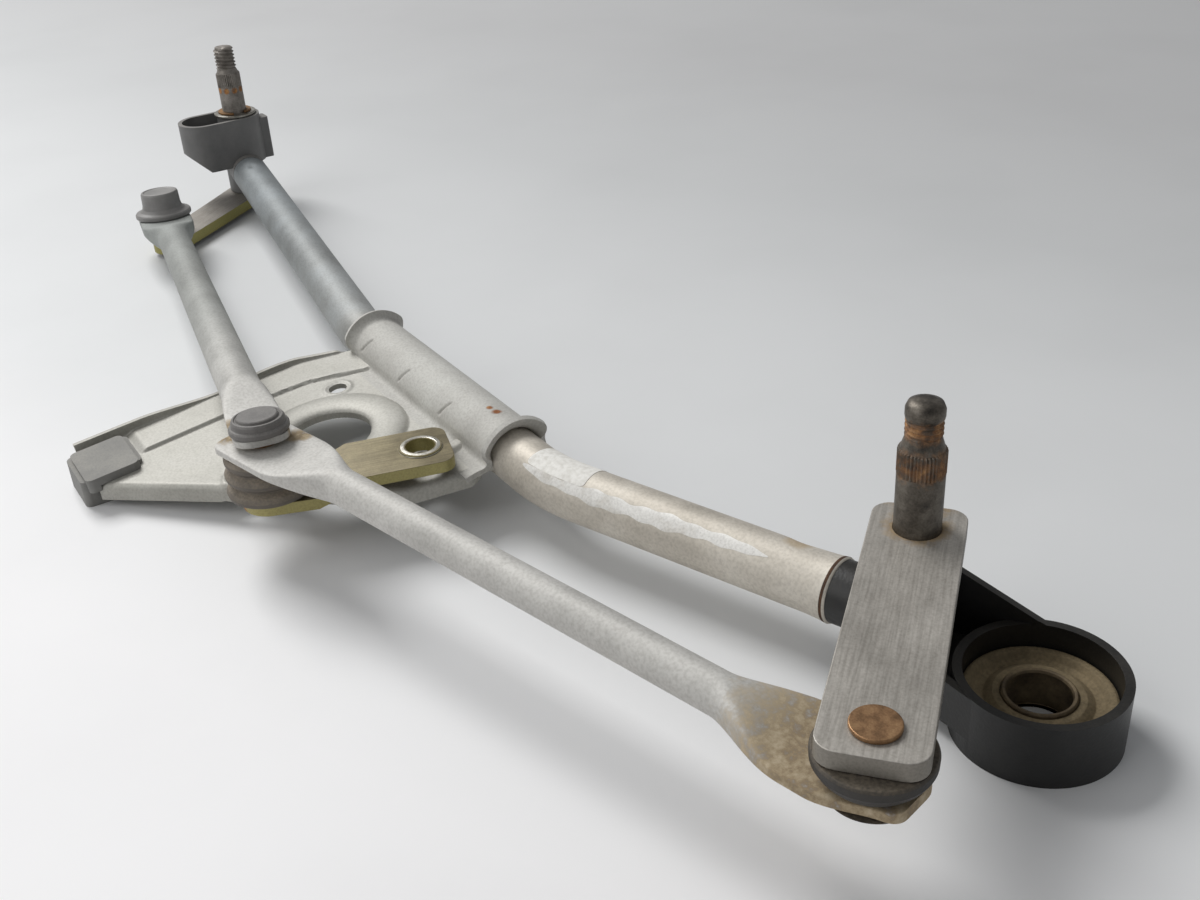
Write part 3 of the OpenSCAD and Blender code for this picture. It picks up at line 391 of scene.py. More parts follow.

# Painted highlight: a ragged white strip along the near leg of the tube that stands in for the
# lamps' sheen on the zinc.
streak_from, streak_to, streak_half, streak_middle = -6.0, 82.5, 0.25, math.radians(134.0)
streak_proud, streak_t = 0.06, 0.05
share = np.linspace(0, 1, 120)[:, None]
streak_across = np.linspace(-1, 1, 12)[None]
streak_run = streak_from + (streak_to - streak_from) * share + leg_start + 0 * streak_across
ragged = 1 + 0.16 * np.sin(share * 23) + 0.14 * np.sin(share * 61 + 1)
half_turn = streak_half * np.sqrt(np.clip(share * (1 - share) * 4, 0.02, 1)) * ragged
middle_turn = streak_middle + 0.08 * np.sin(share * 5.0)
streak_points = along_tube(
    streak_run, np.full_like(streak_run, tube_r + streak_proud), middle_turn + half_turn * streak_across)
streak = surface("painted_highlight_streak", streak_points[:, ::-1])
thickened(streak, streak_t)
# Painted highlight: whiter and smoother than the dirty zinc round it, a painted sheen.
painted_highlight_zinc = plated_steel("painted_highlight_white_zinc", "#dedcd7", "#e9e7e2", "#ccc8c0", 8.0, 0.7, (0.4, 0.5), 0.2)
finish(streak, painted_highlight_zinc)

# Motor plate: one zinc-plated steel stamping with a bead round the motor opening, a raised band and
# a flange along its back edge, and a lip turned down in front. It is modelled flat and then tilted.
hole_r, bead_mid, bead_half, bead_high = 15.0, 21.2, 6.3, 1.9
bolt_circle_r, bolt_r, bolt_turns = 33.0, 3.3, np.radians([150.5, 270.5, 30.5])
ring_r, ring_half, ring_high = 4.7, 0.8, 0.55
band_high, rib_high = 1.2, 1.3
crease_x, crease_y = [-40.2, -41.4, -41.3, -40.6, -35.0, -31.0], [-52.0, -22.0, 0.0, 10.0, 24.0, 33.0]
sheet_from, sheet_to = -72.0, 33.0
back_edge = rounded([[-57.0, sheet_from], [-57.0, 12.0], [-49.0, sheet_to]], 14.0, 12)
front_edge = rounded([[-31.5, sheet_from], [49.0, 4.8], [57.0, sheet_to]], 6.0, 12)
flange_y = [-45.0, -36.0, -28.0, -21.0, -15.0, -6.0, 6.0, 14.0, 26.0]
flange_z = [4.0, 3.1, 2.3, 1.7, 1.9, 3.0, 3.2, 2.5, 2.0]
flange_bend_r, flange_turn, flange_fade = 0.6, math.radians(86), (26.0, 31.0)
lip_bend_r, lip_long, lip_turn, lip_fade = 2.6, 3.4, math.radians(-84), (25.0, 30.0)


def eased(share):
    """A smooth step from 0 to 1."""
    share = np.clip(share, 0, 1)
    return share * share * (3 - 2 * share)


def tilted(points):
    """Turns the flat plate's points about X to its tilt."""
    x, y, z = points[..., 0], points[..., 1], points[..., 2]
    level, rise = math.cos(plate_tilt), math.sin(plate_tilt)
    return np.stack([x, y * level - z * rise, y * rise + z * level], -1)


def stadium(x, y, start, end, half, soft):
    """A flat-topped ridge: 1 within half a width of a line, easing to 0 over its soft flank."""
    start, end = np.array(start), np.array(end)
    run = end - start
    share = np.clip(((x - start[0]) * run[0] + (y - start[1]) * run[1]) / (run @ run), 0, 1)
    away = np.hypot(x - start[0] - share * run[0], y - start[1] - share * run[1])
    return eased((half - away) / soft + 0.5)


def stamped(x, y):
    """Height of the stamped sheet: the highest of a half-round bead about the motor opening, a band
    raised behind a crease and a short rib, plus a ring embossed round each bolt hole."""
    r = np.hypot(x, y)
    height = bead_high * np.sqrt(np.clip(1 - ((r - bead_mid) / bead_half) ** 2, 0, 1))
    crease = np.interp(y, crease_y, crease_x)
    height = np.maximum(height, band_high * eased((crease - x) / 1.3 + 0.5) * eased((y + 55.0) / 4.0))
    height = np.maximum(height, rib_high * stadium(x, y, (39.0, 25.5), (38.0, 30.0), 2.6, 2.4))
    for turn in bolt_turns:
        away = np.hypot(x - bolt_circle_r * math.cos(turn), y - bolt_circle_r * math.sin(turn))
        height = height + ring_high * np.exp(-((away - ring_r) / ring_half) ** 2)
    return height


def turned_edge(edge, rows, side, radius, lip, turn, low, high):
    """One long edge of the sheet, cut at given distances along the plate, with the steps of a bend
    outward and up (or down for a negative turn) that fades out between two distances."""
    line = np.column_stack([np.interp(rows, edge[:, 1], edge[:, 0]), rows])
    ahead = np.gradient(line, axis=0)
    out = side * np.column_stack([ahead[:, 1], -ahead[:, 0]]) / np.linalg.norm(ahead, axis=1)[:, None]
    strength = eased((high - rows) / (high - low))
    bend = np.maximum(abs(turn) * strength, 0.01)[:, None]
    walk = np.linspace(0, 1, 14)[None, 1:] * (radius * bend + (lip * strength)[:, None])
    by = np.minimum(walk / radius, bend)
    straight = np.maximum(walk - radius * bend, 0)
    outward = radius * np.sin(by) + straight * np.cos(bend)
    upward = math.copysign(1.0, turn) * (radius * (1 - np.cos(by)) + straight * np.sin(bend))
    flat = line - out * (radius * np.sin(bend))
    return flat, np.concatenate([flat[:, None] + out[:, None] * outward[..., None], upward[..., None]], -1)


sheet_rows = np.linspace(sheet_from, sheet_to, 215)
flange_h = np.interp(sheet_rows, flange_y, flange_z)
flange_h = np.convolve(np.pad(flange_h, 8, mode="edge"), np.full(17, 1 / 17), "valid")
beside_flange = stamped(np.interp(sheet_rows, back_edge[:, 1], back_edge[:, 0]) + 1.0, sheet_rows)
flange_lip = np.maximum(flange_h - beside_flange - flange_bend_r, 0.02)
back_flat, back_lip = turned_edge(
    back_edge, sheet_rows, -1.0, flange_bend_r, flange_lip, flange_turn, *flange_fade)
front_flat, front_lip = turned_edge(
    front_edge, sheet_rows, 1.0, lip_bend_r, lip_long, lip_turn, *lip_fade)
across = np.linspace(0, 1, 150)[None, :, None]
sheet = back_flat[:, None] * (1 - across) + front_flat[:, None] * across
sheet = np.concatenate([sheet, (sheet_t + stamped(sheet[..., 0], sheet[..., 1]))[..., None]], -1)
back_lip[..., 2] += sheet[:, :1, 2]
front_lip[..., 2] += sheet[:, -1:, 2]
plate_points = tilted(np.concatenate([back_lip[:, ::-1], sheet, front_lip], 1))
plate = surface("motor_plate_sheet", plate_points[::-1], replaces="motor_plate")
drills = []
bores = [(bolt_circle_r * math.cos(turn), bolt_circle_r * math.sin(turn), bolt_r) for turn in bolt_turns]
for bore_x, bore_y, bore_r in [*bores, (0.0, 0.0, hole_r)]:
    rows = np.array([[0.0, -6.0], [bore_r, -6.0], [bore_r, 9.0], [0.0, 9.0]])
    drill_points = np.stack([
        bore_x + rows[:, :1] * np.cos(-angle), bore_y + rows[:, :1] * np.sin(-angle),
        rows[:, 1:] + 0 * angle], -1)
    drills.append(surface("drill", tilted(drill_points), wrap_columns=True))
thickened(plate, sheet_t, drills)
# Zinc-plated sheet: warm grey and half dull, with large faint clouds.
stamped_zinc = plated_steel(
    "zinc_plated_sheet_steel", "#b3b1a9", "#c0beb7", "#a3a199", 34.0, 0.8, (0.48, 0.6), 0.3, bump=0.08)
finish(plate, stamped_zinc)

# Saddle of the motor plate: the stamping is rolled over the tube and staked to it, and its two
# ends are turned out into flanges.
saddle_r, saddle_from, saddle_to, saddle_t = 11.02, -49.0, 57.0, 1.9
collar_r, collar_zone = 3.4, 5.0
saddle_stakes, saddle_stake_deep, saddle_stake_half = (-38.5, -7.2, 24.3), 0.55, 0.55
over_tube = np.radians(np.linspace(24.0, 196.0, 80))
arch = np.stack([saddle_y - saddle_r * np.cos(over_tube), sheet_t / 2 + saddle_r * np.sin(over_tube)], 1)
section = spaced(rounded(np.vstack([[23.0, 1.6], [27.0, 2.05], [31.0, 2.1], arch]), 3.2, 9), 110)
section_ahead = np.gradient(section, axis=0)
section_out = np.stack([-section_ahead[:, 1], section_ahead[:, 0]], 1)
section_out = section_out / np.linalg.norm(section_ahead, axis=1)[:, None]
stations = np.unique(np.concatenate([
    np.linspace(saddle_from, saddle_from + collar_zone, 22),
    np.linspace(saddle_from + collar_zone, saddle_to - collar_zone, 280),
    np.linspace(saddle_to - collar_zone, saddle_to, 22)]))
from_end = np.minimum(stations - saddle_from, saddle_to - stations)
turned_out = np.clip(1 - from_end / collar_r, 0, 1)
collar = collar_r * (1 - np.sqrt(1 - np.minimum(turned_out, 0.995) ** 2))
climbing = eased((section[:, 1] - 2.4) / 5.0)
lift = collar[:, None] * climbing[None]
round_angle = np.degrees(np.arctan2(section[:, 1] - sheet_t / 2, saddle_y - section[:, 0]))[None]
station_grid = stations[:, None] + 0 * round_angle
for stake in saddle_stakes:
    line = stake - 2.0 + (round_angle - 28.0) / 29.0 * 3.4
    struck = eased((round_angle - 24.0) / 6.0) * eased((62.0 - round_angle) / 6.0)
    lift = lift - saddle_stake_deep * np.exp(-((station_grid - line) / saddle_stake_half) ** 2) * struck
saddle_points = np.stack([
    station_grid, section[None, :, 0] + section_out[None, :, 0] * lift,
    section[None, :, 1] + section_out[None, :, 1] * lift], -1)
saddle = surface("saddle_sheet", tilted(saddle_points), sharp=50.0)
thickened(saddle, saddle_t)
# Dulled zinc: rougher than the flat plate and painted paler, a painted highlight for the lit saddle,
# with two specks of rust by the near end.
saddle_zinc_painted_paler = plated_steel(
    "dulled_zinc_painted_paler", "#c2c0ba", "#cecdc7", "#b3b1ab", 30.0, 0.8, (0.66, 0.78), 0.15,
    rust=[((45, 42, 17.2), 3.0), ((41, 41.6, 17.2), 2.2)], bump=0.08)
finish(saddle, saddle_zinc_painted_paler)

# Rubber foot: a moulded block pushed on under the plate's back corner, which stands in a hole of
# the car body. It is dull grey rubber with road dust on its upper faces.
foot_edge = 1.2
soft_angle = math.radians(32.0)
body_of = {node: body for body, nodes in frame["record"]["behaviour"]["bodies"].items() for node in nodes}


def softened(node, width, material):
    """Puts a copy of a constructed node in its place, with its edges rounded to a width in
    millimetres: the copy's doubled points are merged and its flat facets joined first."""
    mesh = frame["nodes"][node].data.copy()
    shape = bmesh.new()
    shape.from_mesh(mesh)
    bmesh.ops.remove_doubles(shape, verts=shape.verts, dist=0.002 * mm)
    bmesh.ops.dissolve_limit(shape, angle_limit=math.radians(0.6), verts=shape.verts, edges=shape.edges)
    shape.to_mesh(mesh)
    shape.free()
    mesh.polygons.foreach_set("use_smooth", np.ones(len(mesh.polygons), bool))
    mesh.set_sharp_from_angle(angle=soft_angle)
    made = bpy.data.objects.new(node + "_finished", mesh)
    bpy.context.scene.collection.objects.link(made)
    soft = made.modifiers.new("soft_edges", "BEVEL")
    soft.width = width * mm
    soft.segments = 3
    soft.limit_method = "ANGLE"
    soft.angle_limit = soft_angle
    soft.use_clamp_overlap = True
    level = made.modifiers.new("level_faces", "WEIGHTED_NORMAL")
    level.keep_sharp = False
    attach(made, body_of[node])
    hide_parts(node)
    finish(made, material)


def moulded(name, base, worn, dust, grain, rough, dusting, bump=0.25):
    """Plastic or rubber: a base tone with worn clouds of 11 millimetres, a moulded grain, and dust that
    lies on faces turned up, thicker where the clouds gather it. The grain is finer on the real piece
    and is drawn as coarse as it needs to show."""
    made, tree, shader = new_material(name)
    coords = add(tree, "TexCoord", {})
    place = coords["Object"]
    cloud = add(tree, "TexNoise", {
        "Vector": place, "Scale": 1 / (11.0 * mm), "Detail": 6.0, "Roughness": 0.65})["Fac"]
    fine = add(tree, "TexNoise", {"Vector": place, "Scale": 1 / (grain * mm), "Detail": 4.0})["Fac"]
    colour = add(tree, "ValToRGB", {"Fac": cloud}, [(0.35, base), (0.7, worn)])["Color"]
    upward = add(tree, "SeparateXYZ", {0: coords["Normal"]})["Z"]
    lying = add(tree, "MapRange", {"Value": upward, "From Min": -0.1, "From Max": 0.95})["Result"]
    crumbs = add(tree, "MapRange", {
        "Value": fine, "From Min": 0.3, "From Max": 0.62, "To Min": 0.35})["Result"]
    heap = add(tree, "Math", {0: lying, 1: crumbs}, operation="MULTIPLY")["Value"]
    drift = add(tree, "MapRange", {
        "Value": cloud, "From Min": 0.28, "From Max": 0.66, "To Min": 0.3, "To Max": 1.0})["Result"]
    cover = add(tree, "Math", {0: heap, 1: drift}, operation="MULTIPLY")["Value"]
    cover = add(tree, "Math", {0: cover, 1: dusting}, operation="MULTIPLY")["Value"]
    dusty = add(tree, "Mix", {"Factor": cover, "A": colour, "B": srgb(dust)}, data_type="RGBA")["Result"]
    tree.links.new(dusty, shader.inputs["Base Color"])
    shine = add(tree, "MapRange", {"Value": cover, "To Min": rough, "To Max": 0.9})["Result"]
    tree.links.new(shine, shader.inputs["Roughness"])
    relief = add(tree, "Bump", {"Height": fine, "Strength": bump, "Distance": 0.25 * mm})["Normal"]
    tree.links.new(relief, shader.inputs["Normal"])
    return made


# Foot rubber: mid grey and dull, whitened by dust on top.
foot_rubber = moulded("grey_foot_rubber", "#747370", "#84837f", "#a5a29b", 0.7, 0.6, 0.85)
softened("rubber_foot", foot_edge, foot_rubber)

# Housings: glass-filled plastic mouldings, charcoal at the far end, with a domed rain shield, and
# black at the near end. Each has a spigot pressed into the tube and carries its spindle in two
# sintered bronze bushes.
housing_edge, bush_edge = 0.7, 0.25
# Glass-filled plastic: a dull fine grain with a little dust on top; the black one is smoother.
charcoal = moulded("charcoal_filled_plastic", "#666665", "#747372", "#9a9286", 0.8, 0.5, 0.42)
black = moulded("black_filled_plastic", "#0f0f0f", "#1b1b1a", "#5a5347", 0.8, 0.42, 0.22)
# Sintered bronze: a brown-yellow metal with a dull sheen.
bronze = plated_steel("sintered_bearing_bronze", "#8a7350", "#a58d66", "#6a573c", 6.0, 0.4, (0.4, 0.55), 0.8)
softened("far_housing", housing_edge, charcoal)
softened("near_housing", housing_edge, black)
for bush in ("far_upper_bush", "far_lower_bush", "near_upper_bush", "near_lower_bush"):
    softened(bush, bush_edge, bronze)

# Mounting eye: a rubber bush pressed into the near housing's ring round a steel sleeve for the
# mounting bolt; sand has settled in its moat and on its lip.
eye_place = (*(near_axis + np.array([33.9, 11.3])), 0.0)
eye_bush_profile = [
    [9.6, -14.0], [19.1, -14.0], [19.1, -3.0], [18.2, -2.6], [16.9, -2.8], [15.6, -4.3], [13.6, -4.6],
    [12.6, -3.8], [11.4, -3.0], [9.6, -3.0]]
eye_sleeve_profile = [[8.0, -14.0], [9.45, -14.0], [9.45, -2.5], [9.0, -2.0], [8.3, -2.2], [8.0, -2.9]]


def turned(name, profile, place, body, replaces=None, lean=0.0, lean_turn=0.0, columns=96, corner=0.0,
           swell=None, sharp=40.0):
    """A lathe form: a profile of radius and height, its corners rounded if asked, turned about an upright
    axis through a place. The axis can lean towards a turn, both in radians, and swell gives a
    radius change for each height and angle."""
    line = rounded(profile, corner, 6) if corner else np.asarray(profile, float)
    turn = -np.linspace(0, 2 * np.pi, columns, endpoint=False)
    height, turn_grid = np.meshgrid(line[:, 1], turn, indexing="ij")
    r = line[:, :1] * np.ones_like(turn_grid)
    if swell:
        r = np.where(r > 0.3, r + swell(height, turn_grid), r)
    x, y = r * np.cos(turn_grid), r * np.sin(turn_grid)
    along = x * math.cos(lean_turn) + y * math.sin(lean_turn)
    cross = y * math.cos(lean_turn) - x * math.sin(lean_turn)
    leant = along * math.cos(lean) + height * math.sin(lean)
    height = height * math.cos(lean) - along * math.sin(lean)
    x = leant * math.cos(lean_turn) - cross * math.sin(lean_turn)
    y = leant * math.sin(lean_turn) + cross * math.cos(lean_turn)
    points = np.stack([x + place[0], y + place[1], height + place[2]], -1)
    return surface(name, points, wrap_columns=True, body=body, replaces=replaces, sharp=sharp)


# Bush rubber under settled sand: brown and gritty, without shine, its tones painted darker as shade for
# its deep seat in the ring.
gritty = moulded("sandy_bush_rubber_painted_dark", "#51462f", "#6e6046", "#8d7d60", 0.9, 0.75, 1.0, 0.6)
eye_rubber = turned("eye_bush_moulded", eye_bush_profile, eye_place, "frame", "eye_bush", corner=0.7)
finish(eye_rubber, gritty)
# Sleeve steel: a dark, brownish metal that has lost its polish.
sleeve_steel = plated_steel(
    "dull_sleeve_steel", "#6b5d48", "#83745a", "#4b4033", 5.0, 0.6, (0.55, 0.7), 0.5)
eye_tube = turned("eye_sleeve_turned", eye_sleeve_profile, eye_place, "frame", "eye_sleeve", corner=0.3)
finish(eye_tube, sleeve_steel)

# Spindles: turned steel pins with a serrated seat for the wiper arm. The near one ends in a short
# grooved nose with a domed tip, the far one in a plain thread. Washers and spring rings hold them.
seat_teeth, seat_deep = 40, 0.5
near_shaft = np.array([
    [0, -12.6], [5.4, -12.6], [6.0, -12.0], [6.0, 49.0], [5.85, 49.3], [5.85, 56.0], [5.5, 56.4],
    [4.55, 59.4], [4.45, 59.6], [4.45, 64.4], [4.75, 64.7], [4.9, 65.4], [4.9, 67.2], [4.3, 68.6],
    [2.6, 69.25], [0, 69.3]])
far_shaft = np.array([
    [0, -12.6], [5.4, -12.6], [6.0, -12.0], [6.0, 47.2], [5.85, 47.5], [5.85, 54.2], [5.5, 54.6],
    [4.75, 56.4], [4.6, 56.6], [4.6, 66.6], [4.0, 67.5], [0, 67.5]])
washer_edge, ring_edge = 0.25, 0.2


def serrated(low, high, teeth, deep):
    """Radius change of straight serrations between two heights."""
    def change(z, turn):
        wave = np.abs((turn * teeth / (2 * np.pi)) % 1 - 0.5) * 2 - 0.5
        return np.where((z > low) & (z < high), deep * wave, 0)
    return change


def threaded(low, high, pitch, deep):
    """Radius change of a V thread between two heights, fading in at its ends."""
    def change(z, turn):
        wave = np.abs(((z - low) / pitch + turn / (2 * np.pi)) % 1 - 0.5) * 2 - 0.5
        return deep * wave * eased((z - low) / 0.6) * eased((high - z) / 0.6)
    return change


def spindle(side, axis, shaft, rings, thread_low, thread_high, pitch, deep):
    """A lathe form whose profile is split into many rings from the foot of the seat to the end of the
    thread, so that the serrations of the one and the grooves of the other have points to stand on."""
    seat_low, seat_high, thread_end = shaft[4, 1], shaft[6, 1], shaft[9, 1]
    heights = np.linspace(seat_low, thread_end, rings)
    fine = np.column_stack([np.interp(heights, shaft[:, 1], shaft[:, 0]), heights])
    seat = serrated(seat_low + 0.1, seat_high, seat_teeth, seat_deep)
    thread = threaded(thread_low, thread_high, pitch, deep)
    return turned(
        side + "_spindle_turned", np.vstack([shaft[:5], fine, shaft[10:]]), (*axis, 0.0), side + "_rocker",
        side + "_spindle", columns=192, sharp=60.0,
        swell=lambda z, turn: seat(z, turn) + thread(z, turn))


near_pin = spindle("near", near_axis, near_shaft, 170, 59.5, 64.5, 1.3, 0.55)
# Knurled steel: a dark grey metal with orange-brown rust on the seat and under the tip.
knurled = plated_steel(
    "rusty_knurled_steel", "#625c54", "#7d776e", "#45413c", 4.0, 0.5, (0.38, 0.55), 0.75,
    rust=[((*near_axis, 52.5), 10.0), ((*near_axis, 62.0), 8.0)], tones=("#6b4a30", "#96683f", "#b58d62"))
finish(near_pin, knurled)
far_pin = spindle("far", far_axis, far_shaft, 220, 56.5, 67.0, 1.75, 0.95)
# Weathered thread: a mid-grey metal with a ring of rust where it leaves the housing.
rust_turns = np.radians(np.arange(0, 360, 40))
far_x, far_y = far_axis
rust_ring = [(far_x + 6 * math.cos(turn), far_y + 6 * math.sin(turn), 46.3) for turn in rust_turns]
weathered_steel = plated_steel(
    "weathered_thread_steel", "#857f78", "#9a948d", "#69635d", 4.0, 0.5, (0.4, 0.55), 0.5,
    rust=[(spot, 2.4) for spot in rust_ring], tones=("#6d4a2c", "#a06c3a", "#c59b68"))
finish(far_pin, weathered_steel)
# Washer steel is bright and smooth; the spring rings have gone brown and dull.
washer_steel = plated_steel(
    "bright_washer_steel", "#9a978f", "#bbb8b0", "#7a776f", 5.0, 0.5, (0.3, 0.45), 0.85)
rusty_ring = plated_steel("rusty_spring_ring", "#7a5b3a", "#a07a4a", "#54402a", 4.0, 0.5, (0.5, 0.7), 0.5)
for side in ("far", "near"):
    softened(side + "_thrust_washer", washer_edge, washer_steel)
    softened(side + "_retaining_ring", ring_edge, rusty_ring)

# Levers: blanked from 5 mm steel strip, brushed along their length and riveted to the spindle and
# the ball stud; rust has started round the rivets.
lever_len, lever_degrees, lever_edge, stud_edge = 76.0, -50.5, 0.5, 0.35
lever_turn = math.radians(lever_degrees)
lever_way = np.array([math.cos(lever_turn), math.sin(lever_turn)])
near_ball, far_ball = near_axis + lever_len * lever_way, far_axis + lever_len * lever_way
lever_heel = near_axis - 14.0 * lever_way
# Brushed strip: a pale satin with lines along the lever, a greyer cut edge and brown round the rivet.
brushed = plated_steel(
    "brushed_strip_steel", "#b8b3ab", "#c4bfb7", "#aba69e", 22.0, 0.6, (0.42, 0.54), 0.45,
    streak=lever_degrees, edge="#8a857c", bump=0.06,
    rust=[((*near_axis, 33.0), 13.0), ((*lever_heel, 33.0), 15.0)], tones=("#7d6244", "#97805f", "#a8987f"))
softened("near_lever", lever_edge, brushed)
# The far lever's strip is darker, and its cut edge has kept a yellow chromate film.
chromate_edged = plated_steel(
    "chromate_edged_strip_steel", "#a09a92", "#aea8a0", "#8e8880", 18.0, 0.6, (0.42, 0.54), 0.45,
    streak=lever_degrees, edge="#a19a5c", bump=0.06)
softened("far_lever", lever_edge, chromate_edged)
# Copper-flashed studs: a warm brown metal with a satin sheen.
stud_steel = plated_steel(
    "copper_flashed_stud_steel", "#a07c5a", "#b3906a", "#84664a", 3.0, 0.4, (0.36, 0.5), 0.75)
softened("near_ball_stud", stud_edge, stud_steel)
softened("far_ball_stud", stud_edge, stud_steel)

# Links: zinc-plated steel tubes whose ends are pressed flat into plates for the ball sockets. The
# section goes from a circle to a rounded bar along a smooth taper.
pin_place = np.array([28.6, -30.6])
near_link_z, far_link_low, far_link_high = 18.95, 3.0, 25.45
near_r, far_r, taper_long = 5.5, 7.0, 26.0
# In each pair the first value is for the end at the lever, the second for the end at the crank's pin.
near_overhang, near_flat_long = (11.0, 10.5), (15.0, 15.0)
near_plate_half, near_corner = (1.6, 1.3), (3.0, 4.0)
far_overhang, far_flat_long = (11.5, 7.2), (15.0, 13.0)
far_plate_half, far_corner = (2.25, 1.2), (3.0, 5.0)
near_heel_w, near_toe_w, near_pin_w = 7.5, 13.0, 12.0
far_lever_w, far_pin_w = 11.8, 8.6


def pressed_link(name, start, end, runs, flat, tube_half, half_w, plate_half, lift, body, replaces):
    """A superellipse swept along a line. Its power goes from 2 to 9 and its half thickness from the
    tube's to the plate's as flat goes from 0 to 1, its half width and the lift of its middle are given
    along the run, and the end rows close to a point."""
    start, end = np.asarray(start, float), np.asarray(end, float)
    ahead = (end - start) / np.linalg.norm(end - start)
    side = np.cross([0, 0, 1.0], ahead)
    side = side / np.linalg.norm(side)
    up = np.cross(ahead, side)
    turn = -np.linspace(0, 2 * np.pi, 128, endpoint=False)
    half_t = tube_half + (plate_half - tube_half) * flat
    squash = 2 / (2 + 7 * flat)[:, None]
    across = half_w[:, None] * np.sign(np.cos(turn)) * np.abs(np.cos(turn)) ** squash
    high = half_t[:, None] * np.sign(np.sin(turn)) * np.abs(np.sin(turn)) ** squash
    middle = start + runs[:, None, None] * ahead
    points = middle + across[..., None] * side + (high + lift[:, None])[..., None] * up
    first, last = points[:1], points[-1:]
    first_point, last_point = first.mean(1, keepdims=True) + 0 * first, last.mean(1, keepdims=True) + 0 * last
    points = np.concatenate([first_point, points, last_point])
    return surface(name, points, wrap_columns=True, body=body, replaces=replaces, sharp=50.0)


def link_runs(first, last):
    """Stations along a link, close together at both ends and tapers."""
    rounding = 3.0 * (1 - np.cos(np.linspace(0, np.pi / 2, 14)))
    return np.unique(np.round(np.concatenate([
        first + rounding, np.linspace(first + 3, first + 56, 90), np.linspace(first + 56, last - 56, 60),
        np.linspace(last - 56, last - 3, 90), last - rounding]), 4))


def flattened(runs, length, at_lever, at_pin):
    """1 where a link is pressed flat and 0 where it is a tube, eased over a taper that starts at a
    distance from each ball."""
    return 1 - eased((runs - at_lever) / taper_long) * eased((length - at_pin - runs) / taper_long)


def cornered(runs, first, last, r_first, r_last):
    """How much a plate's half width draws in near its ends, to round its corners."""
    drawn_in = 0.0
    for from_end, r in ((runs - first, r_first), (last - runs, r_last)):
        drawn_in = drawn_in + (r - np.sqrt(np.maximum(r ** 2 - (r - np.clip(from_end, 0, r)) ** 2, 0)))
    return drawn_in


near_len = float(np.linalg.norm(pin_place - near_ball))
near_first, near_last = -near_overhang[0], near_len + near_overhang[1]
near_runs = link_runs(near_first, near_last)
near_at_lever = near_runs < near_len / 2
near_flat = flattened(near_runs, near_len, *near_flat_long)
near_lever_w = near_heel_w + (near_toe_w - near_heel_w) * eased((near_runs - near_first) / 20.0)
near_plate_w = np.where(near_at_lever, near_lever_w, near_pin_w)
near_drawn_in = cornered(near_runs, near_first, near_last, *near_corner)
near_half = near_r + (near_plate_w - near_r) * near_flat - near_drawn_in
near_lift = np.interp(near_runs, [0.0, 38.0, near_len - 38.0, near_len - 13.0], [0.0, 1.0, 3.6, 3.9])
near_bar = pressed_link(
    "near_link_pressed", (*near_ball, near_link_z), (*pin_place, near_link_z), near_runs, near_flat, near_r,
    near_half, np.where(near_at_lever, *near_plate_half), near_lift, "near_link", "near_link_bar")
# Link zinc: pale, dull and cloudy, greyer towards the far end, with brown dirt on the flattened ends.
link_dirt = [
    ((242.3, 22.4, 20.0), 52.0), ((19.0, -37.0, 24.0), 9.0), ((33.0, -20.0, 25.5), 7.0),
    ((-253.7, 22.4, -1.0), 9.0)]
link_zinc = plated_steel(
    "zinc_plated_link_tube", "#c6c4bf", "#d6d4cf", "#b4b2ad", 30.0, 0.9, (0.58, 0.72), 0.3, bump=0.05,
    tint=[(0.1, "#c2c8c9"), (0.4, "#d6d9d9"), (0.56, "#ffffff")],
    rust=link_dirt, tones=("#7d6a50", "#a59478", "#bdae94"))
finish(near_bar, link_zinc)
far_start, far_end = np.array([*far_ball, far_link_low]), np.array([*pin_place, far_link_high])
far_len = float(np.linalg.norm(far_end - far_start))
far_first, far_last = -far_overhang[0], far_len + far_overhang[1]
far_runs = link_runs(far_first, far_last)
far_at_lever = far_runs < far_len / 2
far_flat = flattened(far_runs, far_len, *far_flat_long)
far_plate_w = np.where(far_at_lever, far_lever_w, far_pin_w)
far_drawn_in = cornered(far_runs, far_first, far_last, *far_corner)
far_half = far_r + (far_plate_w - far_r) * far_flat - far_drawn_in
far_lift = np.interp(far_runs, [far_len - 60.0, far_len - 16.0], [0.0, 0.9])
far_bar = pressed_link(
    "far_link_pressed", far_start, far_end, far_runs, far_flat, far_r, far_half,
    np.where(far_at_lever, *far_plate_half), far_lift, "far_link", "far_link_bar")
finish(far_bar, link_zinc)

# Ball sockets and boots: grease-packed plastic caps snapped through the link ends over the ball
# studs, and folded rubber boots that keep the grease in. All are grey with dust on top.
link_way = math.atan2(far_end[1] - far_start[1], far_end[0] - far_start[0])
link_lean = -math.asin((far_end[2] - far_start[2]) / far_len)
near_socket_edge, lower_socket_edge = 0.5, 0.4
far_cap_profile = [
    [0, 2.3], [12.4, 2.3], [13.0, 2.8], [13.0, 4.2], [12.5, 4.9], [10.6, 5.5], [9.3, 6.7], [8.9, 8.4],
    [8.7, 13.4], [8.3, 14.2], [7.6, 14.4], [7.0, 14.0], [0, 14.0]]
centre_cap_profile = [
    [0, 2.3], [8.9, 2.3], [9.3, 2.7], [9.3, 3.9], [8.9, 4.4], [8.3, 4.6], [8.2, 6.0], [7.8, 6.7],
    [7.2, 6.8], [6.9, 6.4], [6.6, 6.5], [6.3, 7.2], [5.9, 7.5], [0, 7.5]]
skirt_profile = [
    [8.0, 21.3], [10.6, 21.3], [12.4, 23.4], [13.4, 25.2], [13.5, 27.2], [13.1, 27.9], [9.0, 27.9]]
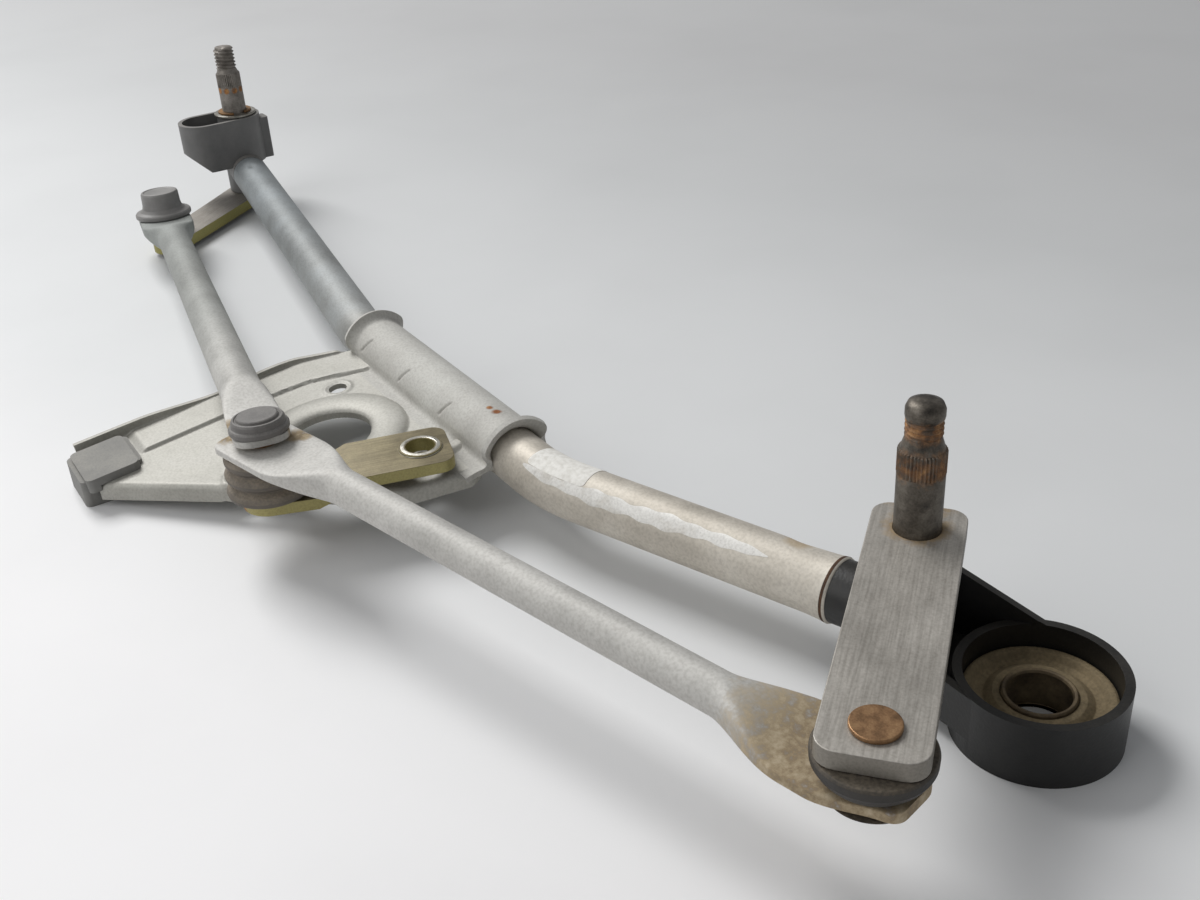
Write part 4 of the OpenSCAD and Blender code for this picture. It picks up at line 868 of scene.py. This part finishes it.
folds_profile = [
    [8.0, 6.6], [11.8, 6.6], [13.2, 7.4], [13.5, 8.7], [12.9, 10.1], [11.2, 11.2], [10.9, 11.9],
    [11.9, 12.5], [13.0, 13.4], [13.2, 14.6], [12.5, 15.8], [11.2, 16.7], [11.0, 17.3], [11.8, 17.9],
    [12.6, 18.8], [12.6, 20.0], [11.8, 21.2], [10.4, 21.7], [8.0, 21.7]]
# Socket plastic: a smooth moulded grey with a weak shine, scuffed darker at the crank.
pale_plastic = moulded("pale_grey_plastic", "#7b7977", "#8e8c8a", "#a09d98", 0.5, 0.42, 0.35, 0.15)
scuffed = moulded("scuffed_grey_plastic", "#565351", "#6f6c69", "#9a9792", 0.5, 0.4, 0.6, 0.15)
# Boot rubber: dull, brown with dust on the folds at the crank and nearly black at the near lever.
rubbery = moulded("dusty_boot_rubber", "#57514a", "#6f675d", "#a89c8a", 0.8, 0.62, 0.95, 0.35)
dark_rubber = moulded("black_boot_rubber", "#1f1d1b", "#35312c", "#7d7262", 0.8, 0.58, 0.8, 0.3)
far_hat = turned(
    "far_socket_cap", far_cap_profile, far_start, "far_link", "far_socket", link_lean, link_way, corner=0.4)
finish(far_hat, pale_plastic)
centre_hat = turned(
    "centre_cap", centre_cap_profile, far_end, "far_link", "centre_cap_socket", link_lean, link_way,
    corner=0.3)
finish(centre_hat, scuffed)
near_skirt = turned(
    "near_boot_skirt", skirt_profile, (*near_ball, 0.0), "near_link", "near_boot", corner=0.4)
finish(near_skirt, dark_rubber)
folded_boot = turned(
    "centre_boot_folds", folds_profile, (*pin_place, 0.0), "near_link", "centre_boot", corner=0.6)
finish(folded_boot, rubbery)
softened("near_socket", near_socket_edge, dark_rubber)
softened("centre_lower_socket", lower_socket_edge, scuffed)

# Motor crank: a cranked steel strip, yellow chromate plated, with a round eye for the motor's
# shaft and a stud with two balls that both links turn on.
crank_eye, crank_degrees, crank_edge, double_stud_edge = (41.75, 15.25, 0.0), 74.0, 0.4, 0.3
eye_ring_profile = [[7.1, 10.9], [7.1, 11.4], [6.4, 11.9], [5.3, 12.0], [4.8, 11.7], [4.8, 10.9]]
# Yellow chromate: an olive-gold satin, brighter on the sheared edges, with rust at both ends.
chromate = plated_steel(
    "yellow_chromate_steel", "#80765b", "#91876a", "#6c634a", 14.0, 0.6, (0.38, 0.52), 0.5,
    streak=crank_degrees, edge="#a69d68", bump=0.06,
    rust=[((28.0, -42.5, 4.0), 5.0), ((47.0, 27.0, 9.0), 4.0)], tones=("#7d4f33", "#a86a45", "#b98a5c"))
softened("motor_crank", crank_edge, chromate)
# Rolled zinc: the eye's rim is worn bright and smooth.
bright_zinc = plated_steel(
    "bright_rolled_zinc", "#cfccc2", "#e2dfd6", "#aeab9f", 4.0, 0.4, (0.25, 0.38), 0.85)
eye_ring = turned("crank_eye_ring", eye_ring_profile, crank_eye, "crank", corner=0.25)
finish(eye_ring, bright_zinc)
softened("crank_double_stud", double_stud_edge, stud_steel)
